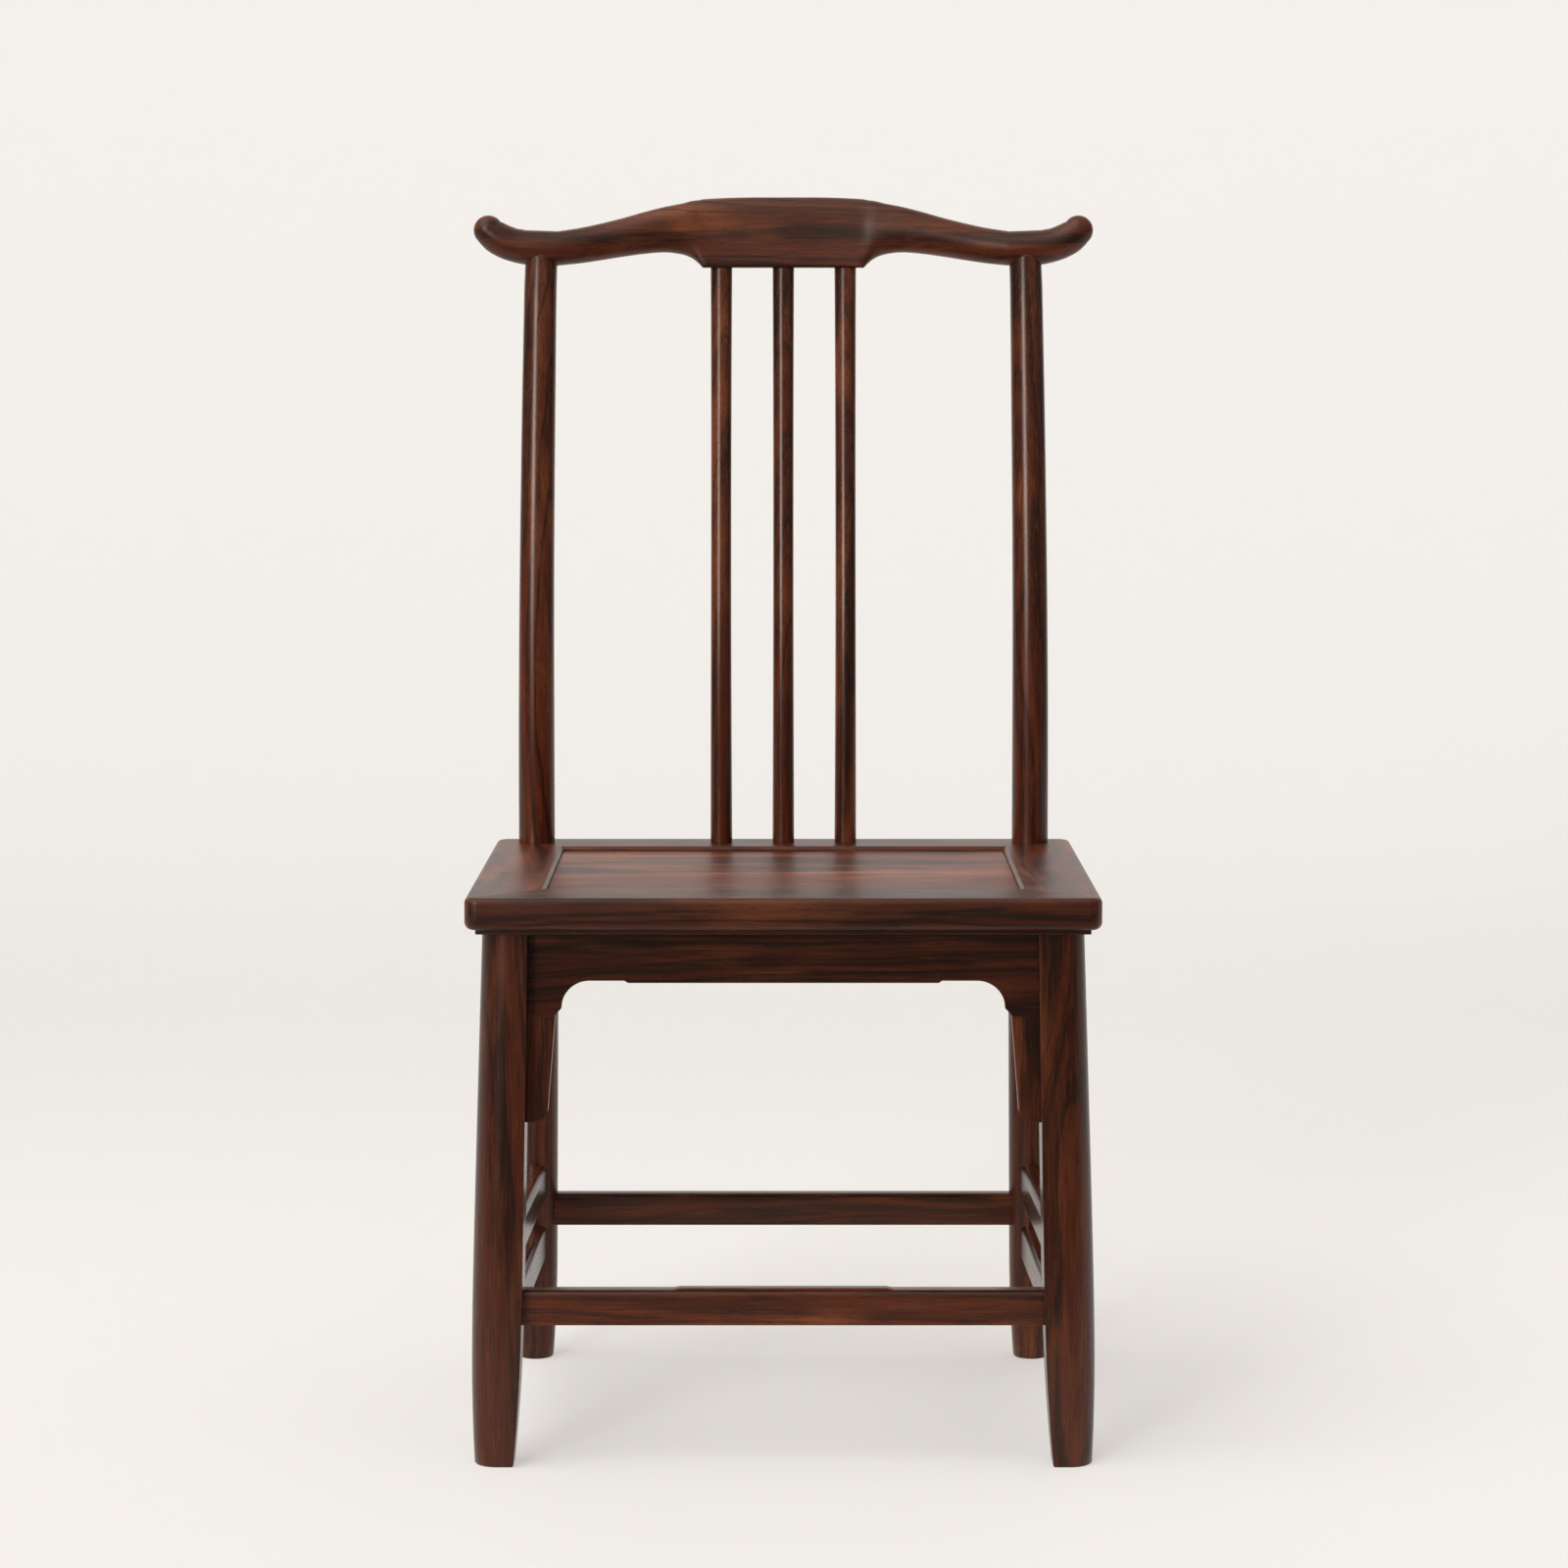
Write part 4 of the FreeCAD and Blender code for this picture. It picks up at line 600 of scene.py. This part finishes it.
def edge_section():
    """The section of the frame, from the lip round the panel, down, out and up again: inset and height."""
    edge_under = SEAT_TOP - EDGE_HEIGHT
    points = [(FRAME_WIDTH, SEAT_TOP - LIP), (FRAME_WIDTH, GROOVE_TOP)]
    points += [(FRAME_WIDTH - GROOVE_DEPTH, GROOVE_TOP), (FRAME_WIDTH - GROOVE_DEPTH, GROOVE_UNDER)]
    points += [(FRAME_WIDTH, GROOVE_UNDER), (FRAME_WIDTH, LEG_TOP)]
    points += [(STEP_INSET, LEG_TOP), (STEP_INSET, edge_under)]
    points += arc(UNDER_ROUND, edge_under + UNDER_ROUND, UNDER_ROUND, 270, 180, EDGE_STEPS)
    points += arc(TOP_ROUND, SEAT_TOP - TOP_ROUND, TOP_ROUND, 180, 90, EDGE_STEPS)
    return points + [(FRAME_WIDTH - LIP, SEAT_TOP)]


def member_rings(half_length, half_depth, place):
    """A member between its mitres; place turns a way along and a way out into X and Y."""
    rings = []
    near_end = [(turn, -1) for turn in steps(CORNER_STEPS, 45.0, 0.0)]
    far_end = [(turn, 1) for turn in steps(CORNER_STEPS, 0.0, 45.0)]
    for turn, end in near_end + far_end:
        ring = []
        for inset, height in edge_section():
            along, out = half_length - inset, half_depth - inset
            if inset < CORNER_ROUND:
                radius = CORNER_ROUND - inset
                along = half_length - CORNER_ROUND + radius * sin(radians(turn))
                out = half_depth - CORNER_ROUND + radius * cos(radians(turn))
            ring.append((*place(end * (along - MITRE_GAP), out), height))
        rings.append(ring)
    return rings


LONG, DEEP = SEAT_HALF_WIDTH, SEAT_HALF_DEPTH
front_rings = member_rings(LONG, DEEP, lambda along, out: (along, SEAT_Y - out))
rear_rings = member_rings(LONG, DEEP, lambda along, out: (along, SEAT_Y + out))
right_rings = member_rings(DEEP, LONG, lambda along, out: (out, SEAT_Y + along))
skin("frame_front", front_rings, "seat_frame_front", FRAME_SHARP)
skin("frame_rear", rear_rings, "seat_frame_rear", FRAME_SHARP)
skin("frame_right", right_rings, "seat_frame_right", FRAME_SHARP)
skin("frame_left", [mirrored(ring) for ring in right_rings], "seat_frame_left", FRAME_SHARP)

# Studio: a pale sweep, a broad light from the upper left, a soft box low in front, and a dim room
FLOOR_FRONT, BEND_START, BEND_RADIUS, HALF_ROOM = -14.0, 3.0, 3.0, 14.0
PAPER_STEPS = 24
FADE_START, FADE_END = -0.54, -1.04
SIDE_FADE_START, SIDE_FADE_END = 3.0, 10.0
SHADE_START, SHADE_END = 0.0, 2.4
HIGH_START, HIGH_END = 0.3, 3.2
# The paper: two mottled tones, a shaded one where the bend catches more light, a dark one out of the picture
PAPER, PALE_PAPER = (0.83, 0.815, 0.799, 1.0), (0.85, 0.835, 0.819, 1.0)
SHADED_PAPER, DARK_PAPER = (0.730, 0.716, 0.702, 1.0), (0.140, 0.136, 0.132, 1.0)
GLOW, SHADED_GLOW = (0.885, 0.850, 0.805, 1.0), (0.815, 0.783, 0.742, 1.0)
DARK_GLOW = (0.150, 0.144, 0.136, 1.0)
GLOW_SHARE = 0.5
PAPER_MOTTLE, PAPER_GRAIN = 0.6, 90.0
PAPER_BUMP, PAPER_BUMP_HEIGHT = 0.05, 0.001
PAPER_ROUGHNESS, PAPER_LEVEL = 0.9, 0.1


def sweep():
    """Floor that turns up into a wall far behind the chair."""
    line = [(FLOOR_FRONT, 0.0)]
    for turn in steps(PAPER_STEPS, 0.0, pi / 2):
        line.append((BEND_START + BEND_RADIUS * sin(turn), BEND_RADIUS * (1 - cos(turn))))
    line.append((BEND_START + BEND_RADIUS, HALF_ROOM))
    corners = [(x, y, z) for y, z in line for x in (-HALF_ROOM, HALF_ROOM)]
    faces = [(2 * i, 2 * i + 1, 2 * i + 3, 2 * i + 2) for i in range(len(line) - 1)]
    mesh = bpy.data.meshes.new("sweep")
    mesh.from_pydata(corners, [], faces)
    for face in mesh.polygons:
        face.use_smooth = True
    piece = bpy.data.objects.new("sweep", mesh)
    scene.collection.objects.link(piece)
    return piece


def paper():
    """Lit paper, evened out by a share of its own colour where it is seen or mirrored."""
    tree = Tree("paper")
    place = tree.add("ShaderNodeTexCoord").outputs["Object"]
    spot = tree.add("ShaderNodeSeparateXYZ", {"Vector": place}).outputs
    far_back = tree.ramp(spot["Y"], SHADE_START, SHADE_END)
    shade = tree.math("MULTIPLY", far_back, tree.ramp(spot["Z"], HIGH_END, HIGH_START))
    aside = tree.ramp(tree.math("ABSOLUTE", spot["X"]), SIDE_FADE_START, SIDE_FADE_END)
    gloom = tree.math("MAXIMUM", tree.ramp(spot["Y"], FADE_START, FADE_END), aside)

    colour = tree.mix(tree.noise(place, PAPER_MOTTLE, detail=2.0), PAPER, PALE_PAPER)
    colour = tree.mix(shade, colour, SHADED_PAPER)
    colour = tree.mix(gloom, colour, DARK_PAPER)
    height = tree.noise(place, PAPER_GRAIN)
    grain = tree.add("ShaderNodeBump", {"Strength": PAPER_BUMP, "Distance": PAPER_BUMP_HEIGHT,
                                        "Height": height}).outputs["Normal"]
    material = tree.surface(colour, PAPER_ROUGHNESS, grain, Specular_IOR_Level=PAPER_LEVEL)
    output = next(node for node in tree.nodes if node.type == "OUTPUT_MATERIAL")
    lit = output.inputs["Surface"].links[0].from_socket

    even = tree.mix(gloom, tree.mix(shade, GLOW, SHADED_GLOW), DARK_GLOW)
    glow = tree.add("ShaderNodeEmission", {"Color": even}).outputs["Emission"]
    ray = tree.add("ShaderNodeLightPath").outputs
    seen = tree.math("MAXIMUM", ray["Is Camera Ray"], ray["Is Glossy Ray"])
    seen = tree.math("MAXIMUM", seen, ray["Is Transmission Ray"])
    share = tree.math("MULTIPLY", seen, GLOW_SHARE)
    blend = tree.add("ShaderNodeMixShader", {0: share, 1: lit, 2: glow})
    tree.links.new(blend.outputs["Shader"], output.inputs["Surface"])
    return material


backdrop = sweep()
backdrop.data.materials.append(paper())


def sun(name, strength, angle, height, turn):
    """A far light; degrees for its width, its height and its turn from the front to the camera's left."""
    light = bpy.data.lights.new(name, "SUN")
    light.energy = strength
    light.angle = radians(angle)
    piece = bpy.data.objects.new(name, light)
    piece.rotation_euler = (radians(90.0 - height), 0.0, radians(-turn))
    scene.collection.objects.link(piece)


sun("key", strength=1.50, angle=60.0, height=54.0, turn=55.0)
sun("box", strength=1.35, angle=17.0, height=14.0, turn=28.0)

# The room: dim below and at eye level, brighter overhead; heights are those of a direction of length 1
LOW, HIGH = -0.05, 0.7
LOW_STRENGTH, HIGH_STRENGTH = 0.09, 0.76
ROOM_COLOUR = (1.0, 0.945, 0.88, 1.0)
world = bpy.data.worlds.new("studio")
world.use_nodes = True
room = world.node_tree
direction = room.nodes.new("ShaderNodeTexCoord")
split = room.nodes.new("ShaderNodeSeparateXYZ")
lift = room.nodes.new("ShaderNodeMapRange")
lift.inputs["From Min"].default_value = LOW
lift.inputs["From Max"].default_value = HIGH
lift.inputs["To Min"].default_value = LOW_STRENGTH
lift.inputs["To Max"].default_value = HIGH_STRENGTH
room.links.new(direction.outputs["Generated"], split.inputs["Vector"])
room.links.new(split.outputs["Z"], lift.inputs["Value"])
room.links.new(lift.outputs["Result"], room.nodes["Background"].inputs["Strength"])
room.nodes["Background"].inputs["Color"].default_value = ROOM_COLOUR
scene.world = world
